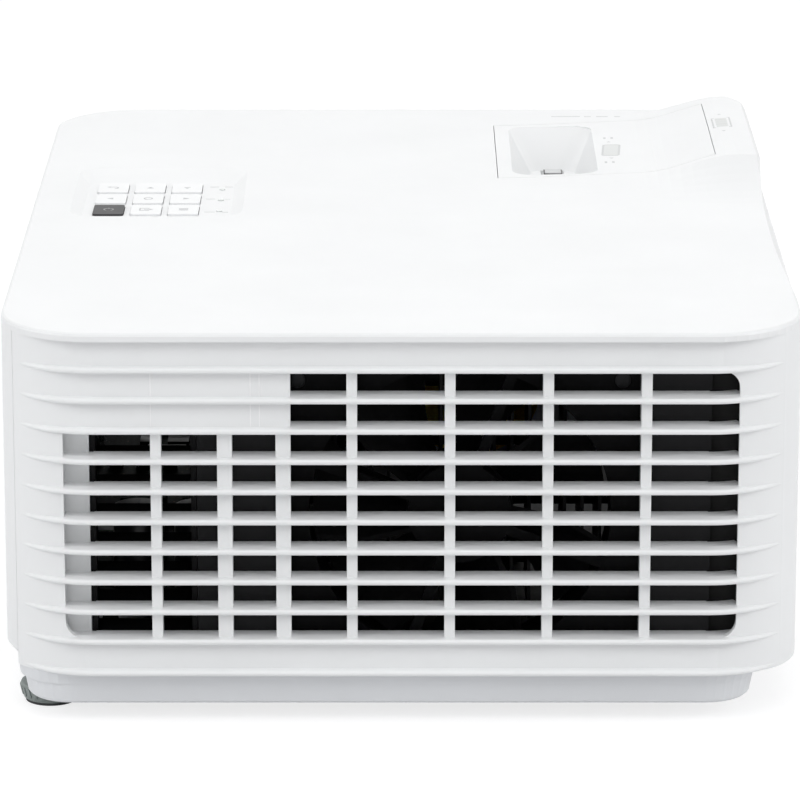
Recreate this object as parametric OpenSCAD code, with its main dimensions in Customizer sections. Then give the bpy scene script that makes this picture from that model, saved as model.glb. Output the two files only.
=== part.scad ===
// Laser installation projector with louvred sides, lens on the left half of the front.
// X points towards the screen, Y to the left of a person facing it, Z up.
// The origin lies on the table, under the middle of the housing.

/* [Housing] */
// Depth of the housing, front face to rear face
body_l = 305; // [290:1:380]
// Width of the housing over both louvred sides
body_w = 405; // [395:1:500]
// Height of the flat lid above the table
lid_z = 156; // [150:1:200]
// Radius of the upright corners, seen from above
corner_r = 36; // [34:1:38]
// Thickness of the plastic shells
wall = 2.5; // [2:0.1:3]
// Height of the lid's own edge
lid_t = 3.3; // [3:0.1:4]
// Gap between the table and the underside
foot_gap = 7.8; // [7.6:0.1:10]
// Height of the parting line between bottom case and side panels
split_z = 20.9; // [19.5:0.1:22]
// Play left between neighbouring covers
seam = 0.3; // [0.2:0.05:0.4]

/* [Louvres] */
// Height pitch wanted between two ribs
rib_pitch_wanted = 11.85; // [11:0.05:13]
// Height from the lid's edge down to the first rib, and from the lowest rib up to the next
rib_end = 12.5; // [12:0.1:14]
// Thickness of a rib's nose
rib_t = 2.2; // [1.8:0.1:2.6]
// How far a rib stands out of the side wall
rib_depth = 3.5; // [3:0.1:4]
// How far the blades and bars reach inward from the wall's face
blade_depth = 8; // [6:0.5:9]
// Column pitch wanted between two upright bars
column_pitch_wanted = 37; // [34:0.5:42]
// Width of an upright bar
bar_w = 4; // [3:0.2:6]
// Radius at the corners of the open field
field_r = 6.5; // [3:0.5:8]
// Width over the framed column of the photographed side
frame_w = 27.7; // [24:0.1:30]
// Width of each of that frame's uprights
frame_bar = 5.6; // [4:0.1:7]

/* [Lens] */
// Distance from the lens axis to the left face of the housing
lens_side = 88.5; // [86:0.5:100]
// Height of the lens axis above the table
lens_z = 102; // [101:0.5:104]
// Radius of the lens barrel under the two rings
barrel_r = 33; // [31:0.5:33.5]
// Wall of the two rings on the barrel
ring_wall = 5.5; // [4:0.5:6]
// Radius of the opening in the front cover
lens_opening_r = 48; // [46:0.5:49]
// Radius of the front glass
glass_r = 26; // [20:0.5:26.5]
// Height of the nose over the lens above the lid
nose_h = 9.5; // [6:0.5:12]
// Radial running play of rings and shafts
play = 0.05; // [0.02:0.01:0.08]

/* [Keypad] */
// Width of a key, front to rear
key_l = 12.6; // [10:0.1:13]
// Width of a key, side to side
key_w = 17; // [14:0.5:18]
// Key pitch, front to rear
key_pitch_x = 15.5; // [15:0.1:18]
// Key pitch, side to side
key_pitch_y = 20; // [19:0.5:23]
// Depth of the keypad tray below the lid
tray_depth = 2; // [1:0.1:2]
// Place of the middle key along the width, from the middle of the housing
keys_y = 28; // [20:0.5:32]
// Travel of a key
key_travel = 0.6; // [0.3:0.1:0.7]

/* [Cooling] */
// Height of the exhaust fan's frame
exhaust_h = 120; // [92:1:122]
// Width of the exhaust fan's frame with its side flanges
exhaust_w = 138; // [122:1:140]
// Side of the square intake fan
intake_size = 92; // [70:1:95]
// Depth of both fans
fan_t = 25; // [20:1:28]

/* [Feet] */
// Travel of an adjuster foot
foot_travel = 12; // [6:1:15]
// Radius of a foot at its top
foot_r = 12; // [9:0.5:13]
// Thread radius of a foot's stud
stud_r = 4; // [3:0.5:5]

/* [Hidden] */
$fn = 64;
hx = body_l / 2;
hy = body_w / 2;
lid_b = lid_z - lid_t;
floor_z = foot_gap + wall;
corner_x = hx - corner_r;
corner_y = hy - corner_r;
lens_y = hy - lens_side;

// ribs are counted from the lid's edge (0) down to the parting line (ribs)
ribs = 2 + round((lid_b - split_z - 2 * rib_end) / rib_pitch_wanted);
rib_pitch = (lid_b - split_z - 2 * rib_end) / (ribs - 2);
function rib_z(i) = i == ribs ? split_z : lid_b - rib_end - rib_pitch * (i - 1);
rib_nose_gap = 0.05;
face_r = corner_r - rib_depth;
shell_r = face_r - wall;
blade_r = face_r - blade_depth;
wrap_front = 90;
wrap_rear = 58;
blade_wrap = 26;
// circle that lifts the recessed wall out to the rib noses round the corner
fade_dir = 75;
fade_shift = 5.8;
fade_r = corner_r - 5.3;

// open field of a side panel, and its columns
field_front = hx - 24.9;
field_rear = -hx + 24.75;
columns = round((field_front - field_rear + bar_w) / column_pitch_wanted);
column_pitch = (field_front - field_rear + bar_w) / columns;
framed_x = field_rear + 2 * column_pitch - bar_w / 2;
framed_0 = framed_x - frame_w / 2;
framed_1 = framed_x + frame_w / 2;
field_top = rib_z(1) + 0.2;
low_top = rib_z(3) + 0.2;
field_bottom = rib_z(ribs - 1) + rib_t - 0.2;

// bottom case
shelf_inset = 7.3;
tub_front = 21.5;
tub_rear = 12;
tub_side = 10.5;
shelf_top = split_z + wall;

// lens train, from the engine to the front glass
barrel_0 = hx - 124.5;
barrel_1 = hx - 6.5;
zoom_0 = hx - 96.5;
zoom_1 = zoom_0 + 20;
focus_0 = hx - 34.5;
focus_1 = focus_0 + 24;
ring_r = barrel_r + ring_wall;
cell_r = glass_r + 4;
group_r = barrel_r - 6;
lever_x = (zoom_0 + zoom_1) / 2;
lever_w = 8;
lever_top = lid_z - 9;

// finger scoop in the lens access cover
scoop_floor = lid_z - 12;
scoop_front = hx - 68.5;
scoop_rear = hx - 105;
scoop_y0 = lens_y - 46;
scoop_y1 = lens_y + 50;
scoop_slope = 34;
slot_y = 15.5;
// the cover's two long edges run slantwise
access_0 = hx - 111.5;
access_1 = hx - 18.5;
access_y0 = lens_y - 52.5;
access_y1 = lens_y + 53;
access_skew = 9.5;

// nose over the lens
nose_rear = hx - 48.5;
nose_run = 39;
nose_near = lens_y - 102;
nose_crest = lens_y - 48;
nose_far = lens_y + 76;
nose_skin = 3;
step_h = 1.4;
step_run = 80;
// hollow in the lid's front edge beside the nose
dip_y = [-hy + 52.5, nose_crest + 2];
dip_depth = 3;

// keypad
key_rows = [0, 1, 2];
keys_x = -hx + 46.9;
tray_z = lid_z - tray_depth;
key_play = 0.25;
dome_top = lid_z - 8;
key_top = lid_z - 1.2;
board_t = 1.6;
keyboard_z = lid_z - 12;
led_x = keys_x + 1.5 * key_pitch_x + 7;
led_r = 1.2;

// feet: one at the front, two at the rear
foot_front = [hx - 32.5, 0];
foot_right = [-hx + 16.5, -hy + 37.5];
foot_left = [-hx + 16.5, hy - 37.5];
pad_t = 1;
boss_top = floor_z + 20;
stud_top = floor_z + 17;

// mounts, screws and boards
insert_x = [-hx + 47.5, hx - 77.5];
insert_y = [-hy + 82.5, hy - 82.5];
insert_r = 3.5;
insert_bore = 2;
insert_l = 10;
screw_x = [-hx + 45, hx - 45];
screw_y = [-hy + 48, hy - 48];
board_z = 32;
main_x = [-hx + 9.5, -hx + 87.5];
main_y = [hy - 232.5, hy - 47.5];
power_x = [-hx + 9.5, -hx + 107.5];
power_y = [-hy + 52.5, -hy + 152.5];

// rear connector bay
bay_z = [board_z - 2, board_z + 28];
bay_y = [-hy + 52.5, hy - 47.5];
bay_depth = 3.5;
plate_t = 1.5;
plate_x = -hx + wall + bay_depth;
socket_x = plate_x - 0.5;
socket_z = board_z + board_t;
hdmi_y = [hy - 67.5, hy - 92.5];
usb_y = hy - 117.5;
lan_y = hy - 142.5;
serial_y = hy - 177.5;
audio_y = [hy - 202.5, hy - 216.5];
inlet_y = -hy + 82.5;
jack_r = 1.8;

// exhaust side
grille_back = -hy + rib_depth + blade_depth;
bracket_y = grille_back + 0.4;
bracket_t = 1.5;
exhaust_y = bracket_y + bracket_t;
exhaust_1 = field_front - 36.3;
exhaust_0 = exhaust_1 - exhaust_w;
exhaust_x = (exhaust_0 + exhaust_1) / 2;
exhaust_z = 82;
bracket_x = [framed_0 - 8, field_front - 10];
bracket_top = lid_z - 8.2;
sink_y = [exhaust_y + fan_t + 6, exhaust_y + fan_t + 66];
sink_x = [exhaust_0 + 7, exhaust_1 - 7];
sink_top = lid_z - 19;
laser_x = [sink_x[1] + 2, sink_x[1] + 28];

// intake side
intake_y = hy - rib_depth - blade_depth - 0.4;
intake_x = hx - 172.5;
intake_z = floor_z + intake_size / 2 + 10;
speaker_w = 46;
speaker_h = 56;
speaker_x = intake_x - intake_size / 2 - 4 - speaker_w / 2;
speaker_y = intake_y;

// light engine
engine_x = [barrel_0 - 88, barrel_0 - 6];
engine_y = [lens_y - 50, lens_y + 50];
engine_z = [lens_z - 46, lens_z + 42];
channel_x = [barrel_0 - 36, barrel_0 - 8];
channel_y = lens_y - 174;
channel_z = [lens_z - 24, lens_z + 16];
wheel_z = lens_z - 4;
phosphor_x = channel_x[1] + 8;
phosphor_r = 28;
colour_x = channel_x[1] + 20;
colour_r = 26;
colour_y = lens_y - 102;
wheel_t = 1;
motor_r = 12;

// ---------- outlines and shared shapes ----------

function arc(x, y, r, a0, a1, n) =
    [for (i = [0:n]) let (a = a0 + (a1 - a0) * i / n) [x + r * cos(a), y + r * sin(a)]];

// rounded rectangle, counter-clockwise from its lower right corner
function rounded(x0, x1, y0, y1, r, n = 8) = concat(
    arc(x1 - r, y0 + r, r, -90, 0, n), arc(x1 - r, y1 - r, r, 0, 90, n),
    arc(x0 + r, y1 - r, r, 90, 180, n), arc(x0 + r, y0 + r, r, 180, 270, n));

// the housing's outline, drawn in by an inset
function outline(inset, n = 12) =
    rounded(-hx + inset, hx - inset, -hy + inset, hy - inset, corner_r - inset, n);

function polar(r, a) = [r * cos(a), r * sin(a)];

function at_z(points, z) = [for (p = points) [p[0], p[1], z]];

// closed solid through rings of equal point counts, listed from the lowest up
module loft(rings) {
    n = len(rings[0]);
    m = len(rings);
    points = [for (ring = rings) for (p = ring) p];
    sides = [for (j = [0:m - 2]) for (i = [0:n - 1]) for (half = [0, 1])
        half == 0
            ? [j * n + i, (j + 1) * n + i, (j + 1) * n + (i + 1) % n]
            : [j * n + i, (j + 1) * n + (i + 1) % n, j * n + (i + 1) % n]];
    bottom = [[for (i = [0:n - 1]) i]];
    top = [[for (i = [n - 1:-1:0]) (m - 1) * n + i]];
    polyhedron(points, concat(bottom, sides, top));
}

module slab(x0, x1, y0, y1, z0, z1) {
    translate([x0, y0, z0]) cube([x1 - x0, y1 - y0, z1 - z0]);
}

module post(x, y, z0, z1, r) {
    translate([x, y, z0]) cylinder(h = z1 - z0, r = r);
}

// turns a shape drawn along Z so that it runs along +X from x, on the lens axis
module on_lens_axis(x) {
    translate([x, lens_y, lens_z]) rotate([0, 90, 0]) children();
}

module mirrored_about(on, y) {
    translate([0, on * y, 0]) mirror([0, on, 0]) translate([0, -on * y, 0]) children();
}

module tube(r_out, r_in, h) {
    difference() {
        cylinder(h = h, r = r_out);
        translate([0, 0, -1]) cylinder(h = h + 2, r = r_in);
    }
}

// ---------- louvred side panels, drawn for the right side ----------

// one rib in section: x is the radius from the corner's centre line, y the height
function rib_section(root, z) = concat(
    [[root, z]], arc(corner_r - rib_nose_gap - rib_t / 2, z + rib_t / 2, rib_t / 2, -90, 90, 6),
    [[root, z + rib_t + 0.3]]);

// all ribs; the lowest lies under the open field and stays shallow
module rib_sections(root) {
    for (i = [1:ribs]) polygon(rib_section(i == ribs ? face_r - 1 : root, rib_z(i)));
}

// ribs along a straight stretch
module straight_ribs(x0, x1, root) {
    translate([x1, -corner_y, 0]) rotate([90, 0, -90]) linear_extrude(x1 - x0) rib_sections(root);
}

// plan of a corner post: its wall comes forward until the ribs sink into it
module corner_plan(wrap) {
    reach = 2 * corner_r;
    intersection() {
        difference() {
            intersection() {
                circle(corner_r);
                union() {
                    circle(face_r);
                    translate(fade_shift * [sin(fade_dir), -cos(fade_dir)]) circle(fade_r);
                }
            }
            circle(shell_r);
        }
        polygon([[0, 0], [0, -reach], reach * [sin(wrap), -cos(wrap)]]);
    }
}

// ribs round a corner, and the blades behind them over the open field
module corner_ribs() {
    rotate([0, 0, -90]) rotate_extrude(angle = wrap_rear) rib_sections(face_r - 1);
    rotate([0, 0, -91])
        rotate_extrude(angle = blade_wrap)
            for (i = [1:ribs - 1])
                translate([blade_r, rib_z(i) + 0.1]) square([face_r - blade_r, rib_t]);
}

// puts a shape drawn for the front corner at the front, or mirrored at the rear
module at_corner(front) {
    translate([front ? corner_x : -corner_x, -corner_y, 0])
        mirror([front ? 0 : 1, 0, 0])
            children();
}

// window outline with its own radius at each corner: rear low, front low, front high, rear high
function window(x0, x1, z0, z1, r) = concat(
    r[0] == 0 ? [[x0, z0]] : arc(x0 + r[0], z0 + r[0], r[0], 180, 270, 6),
    r[1] == 0 ? [[x1, z0]] : arc(x1 - r[1], z0 + r[1], r[1], -90, 0, 6),
    r[2] == 0 ? [[x1, z1]] : arc(x1 - r[2], z1 - r[2], r[2], 0, 90, 6),
    r[3] == 0 ? [[x0, z1]] : arc(x0 + r[3], z1 - r[3], r[3], 90, 180, 6));

function column_x0(j) = field_rear + j * column_pitch;
function column_x1(j) = column_x0(j) + column_pitch - bar_w;

// the windows of one panel; a framed panel has its rear columns low and a framed column between
module windows(framed) {
    for (j = [0:columns - 1]) {
        low = framed && j < 2;
        x0 = framed && j == 2 ? framed_1 : column_x0(j);
        x1 = framed && j == 1 ? framed_0 : column_x1(j);
        polygon(window(x0, x1, field_bottom, low ? low_top : field_top, [
            j == 0 ? field_r : 0,
            j == columns - 1 ? field_r : 0,
            j == columns - 1 ? field_r : 0,
            j == 0 && !framed ? field_r : 0]));
    }
    if (framed)
        polygon(window(framed_0 + frame_bar, framed_1 - frame_bar, field_bottom, low_top, [0, 0, 0, 0]));
}

module upright(x0, x1, z1) {
    slab(x0, x1, -hy + rib_depth, grille_back, field_bottom, z1);
}

module side_panel(framed) {
    difference() {
        union() {
            slab(-corner_x, corner_x, -hy + rib_depth, -hy + rib_depth + wall, split_z, lid_b);
            at_corner(true) translate([0, 0, split_z]) linear_extrude(lid_b - split_z) corner_plan(wrap_front);
            at_corner(false) translate([0, 0, split_z]) linear_extrude(lid_b - split_z) corner_plan(wrap_rear);
        }
        translate([0, -hy + 14, 0]) rotate([90, 0, 0]) linear_extrude(16) windows(framed);
    }
    // uprights between the columns
    for (j = [1:columns - 1])
        if (!(framed && j == 2))
            upright(column_x1(j - 1), column_x0(j), framed && j < 3 ? low_top : field_top);
    if (framed) {
        upright(framed_0, framed_0 + frame_bar, low_top);
        upright(framed_1 - frame_bar, framed_1, field_top);
    }
    straight_ribs(-corner_x, corner_x, blade_r);
    at_corner(true) corner_ribs();
    at_corner(false) corner_ribs();
}

// the exhaust side also has a wall behind its rear column, which closes it beside the light baffle
module right_side_grille() {
    color("white") {
        side_panel(true);
        slab(-corner_x - 12, -corner_x - 1.8, grille_back - 0.3, grille_back + 2.4, rib_z(ribs - 1) + 0.5, low_top);
    }
}

module left_side_grille() {
    color("white") mirror([0, 1, 0]) side_panel(false);
}

// ---------- bottom case ----------

function skirt(rear, front, side, r, z) =
    at_z(rounded(-hx + rear, hx - front, -hy + side, hy - side, r), z);

module foot_bore(at) {
    post(at[0], at[1], foot_gap - 1, boss_top + 1, stud_r + play);
}

module bottom_case() {
    color("gainsboro") difference() {
        union() {
            difference() {
                union() {
                    loft([
                        skirt(9.5, 19, 8.5, 17, foot_gap), skirt(8.5, 18, 7.5, 18, foot_gap + 1),
                        skirt(7.2, 16.6, 6.3, 19, split_z - 5), skirt(5.4, 16.2, 6, 20, split_z - 4.9),
                        skirt(5, 15, 5, 20, split_z)]);
                    translate([0, 0, split_z])
                        linear_extrude(wall) polygon(outline(shelf_inset));
                }
                translate([0, 0, floor_z])
                    linear_extrude(shelf_top)
                        polygon(rounded(-hx + tub_rear, hx - tub_front, -hy + tub_side, hy - tub_side, 14));
            }
            for (at = [foot_front, foot_right, foot_left])
                post(at[0], at[1], floor_z - 1, boss_top, 9);
            for (x = insert_x) for (y = insert_y)
                post(x, y, floor_z - 1, foot_gap + insert_l + 3, 7);
            for (x = screw_x) for (y = screw_y)
                post(x, y, floor_z - 1, floor_z + 9, 5);
            for (x = [main_x[0] + 6, main_x[1] - 6]) for (y = [main_y[0] + 6, main_y[1] - 6])
                post(x, y, floor_z - 1, board_z, 4);
            for (x = [power_x[0] + 6, power_x[1] - 6]) for (y = [power_y[0] + 6, power_y[1] - 6])
                post(x, y, floor_z - 1, board_z, 4);
            for (x = [engine_x[0] + 10, engine_x[1] - 10]) for (y = [engine_y[0] + 12, engine_y[1] - 12])
                post(x, y, floor_z - 1, engine_z[0], 6);
        }
        foot_bore(foot_front);
        foot_bore(foot_right);
        foot_bore(foot_left);
        for (x = insert_x) for (y = insert_y)
            post(x, y, foot_gap - 1, foot_gap + insert_l + 0.1, insert_r + play);
        for (x = screw_x) for (y = screw_y) {
            post(x, y, foot_gap - 1, foot_gap + 3, 3.6);
            post(x, y, foot_gap - 1, floor_z + 10, 1.6);
        }
    }
}

module cover_screws() {
    color("dimgray")
        for (x = screw_x) for (y = screw_y) difference() {
            union() {
                post(x, y, foot_gap + 0.9, foot_gap + 3, 3.2);
                post(x, y, foot_gap + 2, floor_z + 9.5, 1.55);
            }
            post(x, y, foot_gap, foot_gap + 1.9, 0.9);
        }
}

module ceiling_inserts() {
    color("goldenrod")
        for (x = insert_x) for (y = insert_y)
            translate([x, y, foot_gap]) tube(insert_r, insert_bore, insert_l);
}

// ---------- lid, nose over the lens, access cover ----------

function ease(t) = let (u = max(0, min(1, t))) u * u * (3 - 2 * u);

// rise of the lid's surface at one point: a low step, then the nose, both fading out on the right
function nose_rise(x, y) =
    (step_h * ease((x - access_0) / step_run) + (nose_h - step_h) * ease((x - nose_rear) / nose_run))
    * pow(max(0, min(1, (y - nose_near) / (nose_crest - nose_near))), 1.5)
    * (y > nose_far - 0.1 ? 0.7 : y > nose_far - 2.1 ? 0.95 : 1 + 0.03 * ease((y - nose_crest) / 110))
    * (x > hx - 0.1 ? 0.87 : x > hx - 1.6 ? 0.98 : 1);

// solid under the risen surface over a grid of stations, lowered by drop, down to z0
module nose_block(xs, ys, drop, z0) {
    m = len(ys);
    n = len(xs) * m;
    tops = [for (x = xs) for (y = ys) [x, y, lid_z - 0.15 - drop + nose_rise(x, y)]];
    feet = [for (x = xs) for (y = ys) [x, y, z0]];
    over = [for (i = [0:len(xs) - 2]) for (j = [0:m - 2]) let (a = i * m + j) for (half = [0, 1])
        half == 0 ? [a, a + 1, a + m + 1] : [a, a + m + 1, a + m]];
    under = [for (i = [0:len(xs) - 2]) for (j = [0:m - 2]) let (a = n + i * m + j) for (half = [0, 1])
        half == 0 ? [a, a + m + 1, a + 1] : [a, a + m, a + m + 1]];
    rear = [for (j = [0:m - 2]) for (half = [0, 1]) half == 0 ? [j, n + j, n + j + 1] : [j, n + j + 1, j + 1]];
    e = n - m;
    front = [for (j = [0:m - 2]) for (half = [0, 1])
        half == 0 ? [e + j, n + e + j + 1, n + e + j] : [e + j, e + j + 1, n + e + j + 1]];
    near = [for (i = [0:len(xs) - 2]) let (a = i * m) for (half = [0, 1])
        half == 0 ? [a, n + a + m, n + a] : [a, a + m, n + a + m]];
    far = [for (i = [0:len(xs) - 2]) let (a = i * m + m - 1) for (half = [0, 1])
        half == 0 ? [a, n + a, n + a + m] : [a, n + a + m, a + m]];
    polyhedron(concat(tops, feet), concat(over, under, rear, front, near, far));
}

// plan of what the hollow takes off the front edge, at one depth
function dip_plan(depth) = concat(
    [[hx + 5, dip_y[0]], [hx + 5, dip_y[1]]],
    [for (k = [0:12]) let (t = 1 - k / 6) [hx + 0.02 - depth * (1 - t * t),
        (dip_y[0] + dip_y[1]) / 2 + t * (dip_y[1] - dip_y[0]) / 2]]);

// lid and nose as one skin, before the openings are cut
module lid_skin() {
    difference() {
        union() {
            loft([at_z(outline(0), lid_b), at_z(outline(0), lid_z - 1.2),
                at_z(outline(0.4), lid_z - 0.4), at_z(outline(1.3), lid_z)]);
            intersection() {
                nose_block(concat([for (k = [-3, 19, 39, 55]) access_0 + k],
                    [for (k = [0:8]) nose_rear + k * nose_run / 8], [hx - 1.5, hx, hx + 1]),
                    concat([for (k = [0:6]) nose_near + k * (nose_crest - nose_near) / 6],
                        [nose_far - 60, nose_far - 2, nose_far]), 0, lid_z - 1);
                translate([0, 0, lid_b]) linear_extrude(lid_t + nose_h + 5) polygon(outline(0.2));
            }
        }
        nose_block([for (k = [0:4]) nose_rear + k * (nose_run + 6.5) / 4],
            [nose_near + 18, nose_near + 36, nose_crest, nose_far - 27], nose_skin, lid_b - 1);
        loft([at_z(dip_plan(0.3), lid_b - 0.01), at_z(dip_plan(dip_depth), lid_z), at_z(dip_plan(dip_depth), lid_z + nose_h + 3)]);
    }
}

// where the cover's slanting long edges lie, from the near one
function access_y(x) = access_y0 + access_skew * (x - access_0) / (access_1 - access_0);

module access_prism(gap) {
    width = access_y1 - access_y0;
    translate([0, 0, lid_z - 20])
        linear_extrude(40)
            polygon([
                [access_0 + gap, access_y(access_0) + gap], [access_1 - gap, access_y(access_1) + gap],
                [access_1 - gap, access_y(access_1) + width - gap], [access_0 + gap, access_y(access_0) + width - gap]]);
}

function key_x(i) = keys_x - key_pitch_x * (1 - i);
function key_y(j) = keys_y - key_pitch_y * (1 - j);

module key_cell(i, j, grow, z0, z1) {
    translate([key_x(i), key_y(j), z0])
        linear_extrude(z1 - z0)
            polygon(rounded(-key_l / 2 - grow, key_l / 2 + grow, -key_w / 2 - grow, key_w / 2 + grow, 1.5, 4));
}

module keypad_tray() {
    x0 = keys_x - 1.5 * key_pitch_x - 3;
    x1 = led_x + 5;
    y0 = keys_y - 1.5 * key_pitch_y - 3;
    y1 = keys_y + 1.5 * key_pitch_y + 3;
    loft([at_z(rounded(x0, x1, y0, y1, 5), tray_z),
        at_z(rounded(x0 - 5, x1 + 5, y0 - 5, y1 + 22, 12), lid_z + 0.05)]);
}

module top_cover() {
    color("white") difference() {
        union() {
            lid_skin();
            // locating rim inside the side panels
            translate([0, 0, lid_z - 8])
                linear_extrude(8 - lid_t)
                    difference() {
                        polygon(outline(6.6));
                        polygon(outline(9));
                    }
            // posts that carry the keypad board
            for (x = [key_x(0) - 6, led_x + 2]) for (y = [key_y(0) - 13, key_y(2) + 13])
                post(x, y, keyboard_z + board_t, lid_b + 1, 3);
        }
        access_prism(0);
        slab(focus_0 - 6, hx + 1, lens_y - 54, lens_y + 54, lid_z - 9, lid_b);
        keypad_tray();
        for (i = key_rows) for (j = key_rows)
            key_cell(i, j, key_play, lid_b - 1, lid_z + 1);
        for (j = key_rows)
            post(led_x, key_y(j), lid_b - 1, lid_z, led_r + 0.1);
    }
}

// the scoop's hollow; grow thickens it to the shell that hangs below the cover,
// and above carries its mouth through the rising skin
module scoop_form(grow, top, above = 0) {
    mouth = rounded(scoop_rear - grow, scoop_front + grow, scoop_y0 - grow, scoop_y1 + grow, 8);
    loft(concat([
        at_z(rounded(scoop_rear + 9 - grow, scoop_front - 8 + grow,
            scoop_y0 + 3 - grow, scoop_y1 - scoop_slope + grow, 7), scoop_floor - grow),
        at_z(mouth, top)],
        above > 0 ? [at_z(mouth, top + above)] : []));
}

module lens_access_cover() {
    color("white") difference() {
        union() {
            intersection() {
                lid_skin();
                access_prism(seam);
            }
            scoop_form(2, lid_z - 1);
            // tongues that hook under the lid
            for (y = [access_y0 + 24, access_y1 - 24]) {
                slab(access_0 - 3, access_0 + 5, y - 6, y + 6, lid_b - 2, lid_b);
                slab(access_0 + seam, access_0 + 5, y - 6, y + 6, lid_b - 2, lid_b + 1);
            }
            for (side = [0, 1]) {
                y = access_y(nose_rear - 6.5) + side * (access_y1 - access_y0);
                out = side == 0 ? -1 : 1;
                slab(nose_rear - 11, nose_rear - 2, min(y + 3 * out, y - 4.6 * out), max(y + 3 * out, y - 4.6 * out),
                    lid_b - 2, lid_b);
                slab(nose_rear - 11, nose_rear - 2, min(y - 1.3 * out, y - 4.6 * out), max(y - 1.3 * out, y - 4.6 * out),
                    lid_b - 2, lid_b + 1);
            }
        }
        scoop_form(0, lid_z, 3);
        slab(lever_x - lever_w / 2 - 1, lever_x + lever_w / 2 + 1, lens_y - slot_y, lens_y + slot_y,
            scoop_floor - 4, lid_z);
    }
}

// ---------- front and rear covers ----------

module front_cover() {
    color("white") difference() {
        union() {
            slab(hx - 3, hx, -corner_y + seam, corner_y - seam, split_z, lid_b);
            slab(hx - 7, hx - 3, -corner_y + 1, corner_y - 1, shelf_top + 0.2, shelf_top + 3);
        }
        on_lens_axis(hx - 10) cylinder(h = 20, r = lens_opening_r, $fn = 96);
        translate([hx - 10, lens_y - 86, lens_z + 14]) rotate([0, 90, 0]) cylinder(h = 20, r = 7.1);
    }
}

module ir_window() {
    color([0.12, 0.05, 0.06])
        translate([hx, lens_y - 86, lens_z + 14])
            rotate([0, -90, 0]) {
                cylinder(h = 4, r = 7);
                translate([0, 0, 3.05]) cylinder(h = 1.5, r = 9);
            }
}

module lens_bezel() {
    color([0.09, 0.09, 0.1])
        on_lens_axis(hx - 28.5)
            rotate_extrude($fn = 96)
                polygon([[lens_opening_r - 3, 0], [lens_opening_r - 1, 0], [lens_opening_r + 1, 23.5],
                    [lens_opening_r + 4, 23.5], [lens_opening_r + 4, 25.5], [lens_opening_r, 25.5]]);
}

// plan of the region behind the seams to the side panels
module rear_region() {
    out = [sin(wrap_rear + 0.5), cos(wrap_rear + 0.5)];
    a = [-corner_x - 29 * out[0], -corner_y - 29 * out[1]];
    b = [-corner_x - 50 * out[0], -corner_y - 50 * out[1]];
    polygon([a, [a[0], -a[1]], [b[0], -b[1]], [-hx - 20, -b[1]], [-hx - 20, b[1]], b]);
}

module rear_form(inset, z0) {
    loft([at_z(outline(inset + 4.5), z0), at_z(outline(inset), z0 + 5.5), at_z(outline(inset), lid_b)]);
}

module rear_cover() {
    color("white") difference() {
        union() {
            intersection() {
                difference() {
                    rear_form(0, split_z);
                    rear_form(wall, split_z - 0.01);
                }
                translate([0, 0, split_z]) linear_extrude(lid_b - split_z) rear_region();
            }
            // jamb round the connector bay
            slab(-hx + 1, plate_x, bay_y[0] - 2, bay_y[1] + 2, bay_z[0] - 2, bay_z[1] + 2);
        }
        slab(-hx - 1, plate_x + 1, bay_y[0], bay_y[1], bay_z[0], bay_z[1]);
        // sound slots
        for (i = [0:5])
            slab(-hx - 1, -hx + 5, -hy + 60, -hy + 120, bay_z[1] + 14 + i * 7, bay_z[1] + 17 + i * 7);
    }
}

// ---------- connector bay ----------

module socket_holes() {
    for (y = hdmi_y) slab(-hx, 0, y - 8.3, y + 8.3, socket_z - 1, socket_z + 8.3);
    slab(-hx, 0, usb_y - 7.8, usb_y + 7.8, socket_z - 1, socket_z + 8.3);
    slab(-hx, 0, lan_y - 8.8, lan_y + 8.8, socket_z - 1, socket_z + 14.3);
    slab(-hx, 0, serial_y - 16.3, serial_y + 16.3, socket_z - 1, socket_z + 13.3);
    for (y = audio_y) slab(-hx, 0, y - 4.3, y + 4.3, socket_z - 1, socket_z + 9.3);
    slab(-hx, 0, inlet_y - 14.3, inlet_y + 14.3, socket_z - 1, socket_z + 23.3);
}

module connector_plate() {
    color([0.15, 0.15, 0.16]) difference() {
        slab(plate_x, plate_x + plate_t, bay_y[0] - 4, bay_y[1] + 4, bay_z[0] - 4, bay_z[1] + 4);
        socket_holes();
        slab(-hx, 0, -hy, hy, 0, board_z + board_t + 0.2);
        // the two jacks have a plate of their own
        for (y = [audio_y[1] - 6.5, audio_y[0] + 6.5]) slab(-hx, 0, y - 0.05, y + 0.05, 0, lid_b);
    }
}

// a socket on its board: outer shell y by z, hollow of its own size, mouth to the rear
module socket(y, w, h, depth, hollow_w, hollow_h, hollow_depth) {
    difference() {
        slab(socket_x, socket_x + depth, y - w / 2, y + w / 2, socket_z, socket_z + h);
        slab(socket_x - 1, socket_x + hollow_depth, y - hollow_w / 2, y + hollow_w / 2,
            socket_z + (h - hollow_h) / 2, socket_z + (h + hollow_h) / 2);
    }
}

module hdmi_sockets() {
    color("silver") for (y = hdmi_y) socket(y, 16, 8, 14, 14, 4.6, 10);
}

module usb_socket() {
    color("silver") socket(usb_y, 15, 8, 16, 12.6, 5.4, 12);
}

module lan_socket() {
    color("silver") socket(lan_y, 17, 14, 20, 12.2, 10, 14);
}

module serial_port() {
    color("silver") difference() {
        union() {
            slab(socket_x + 2.6, socket_x + 14, serial_y - 16, serial_y + 16, socket_z, socket_z + 13);
            slab(socket_x - 3, socket_x + 3, serial_y - 9, serial_y + 9, socket_z + 2.2, socket_z + 10.8);
        }
        slab(socket_x - 4, socket_x + 3, serial_y - 8.2, serial_y + 8.2, socket_z + 3, socket_z + 10);
    }
}

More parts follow.
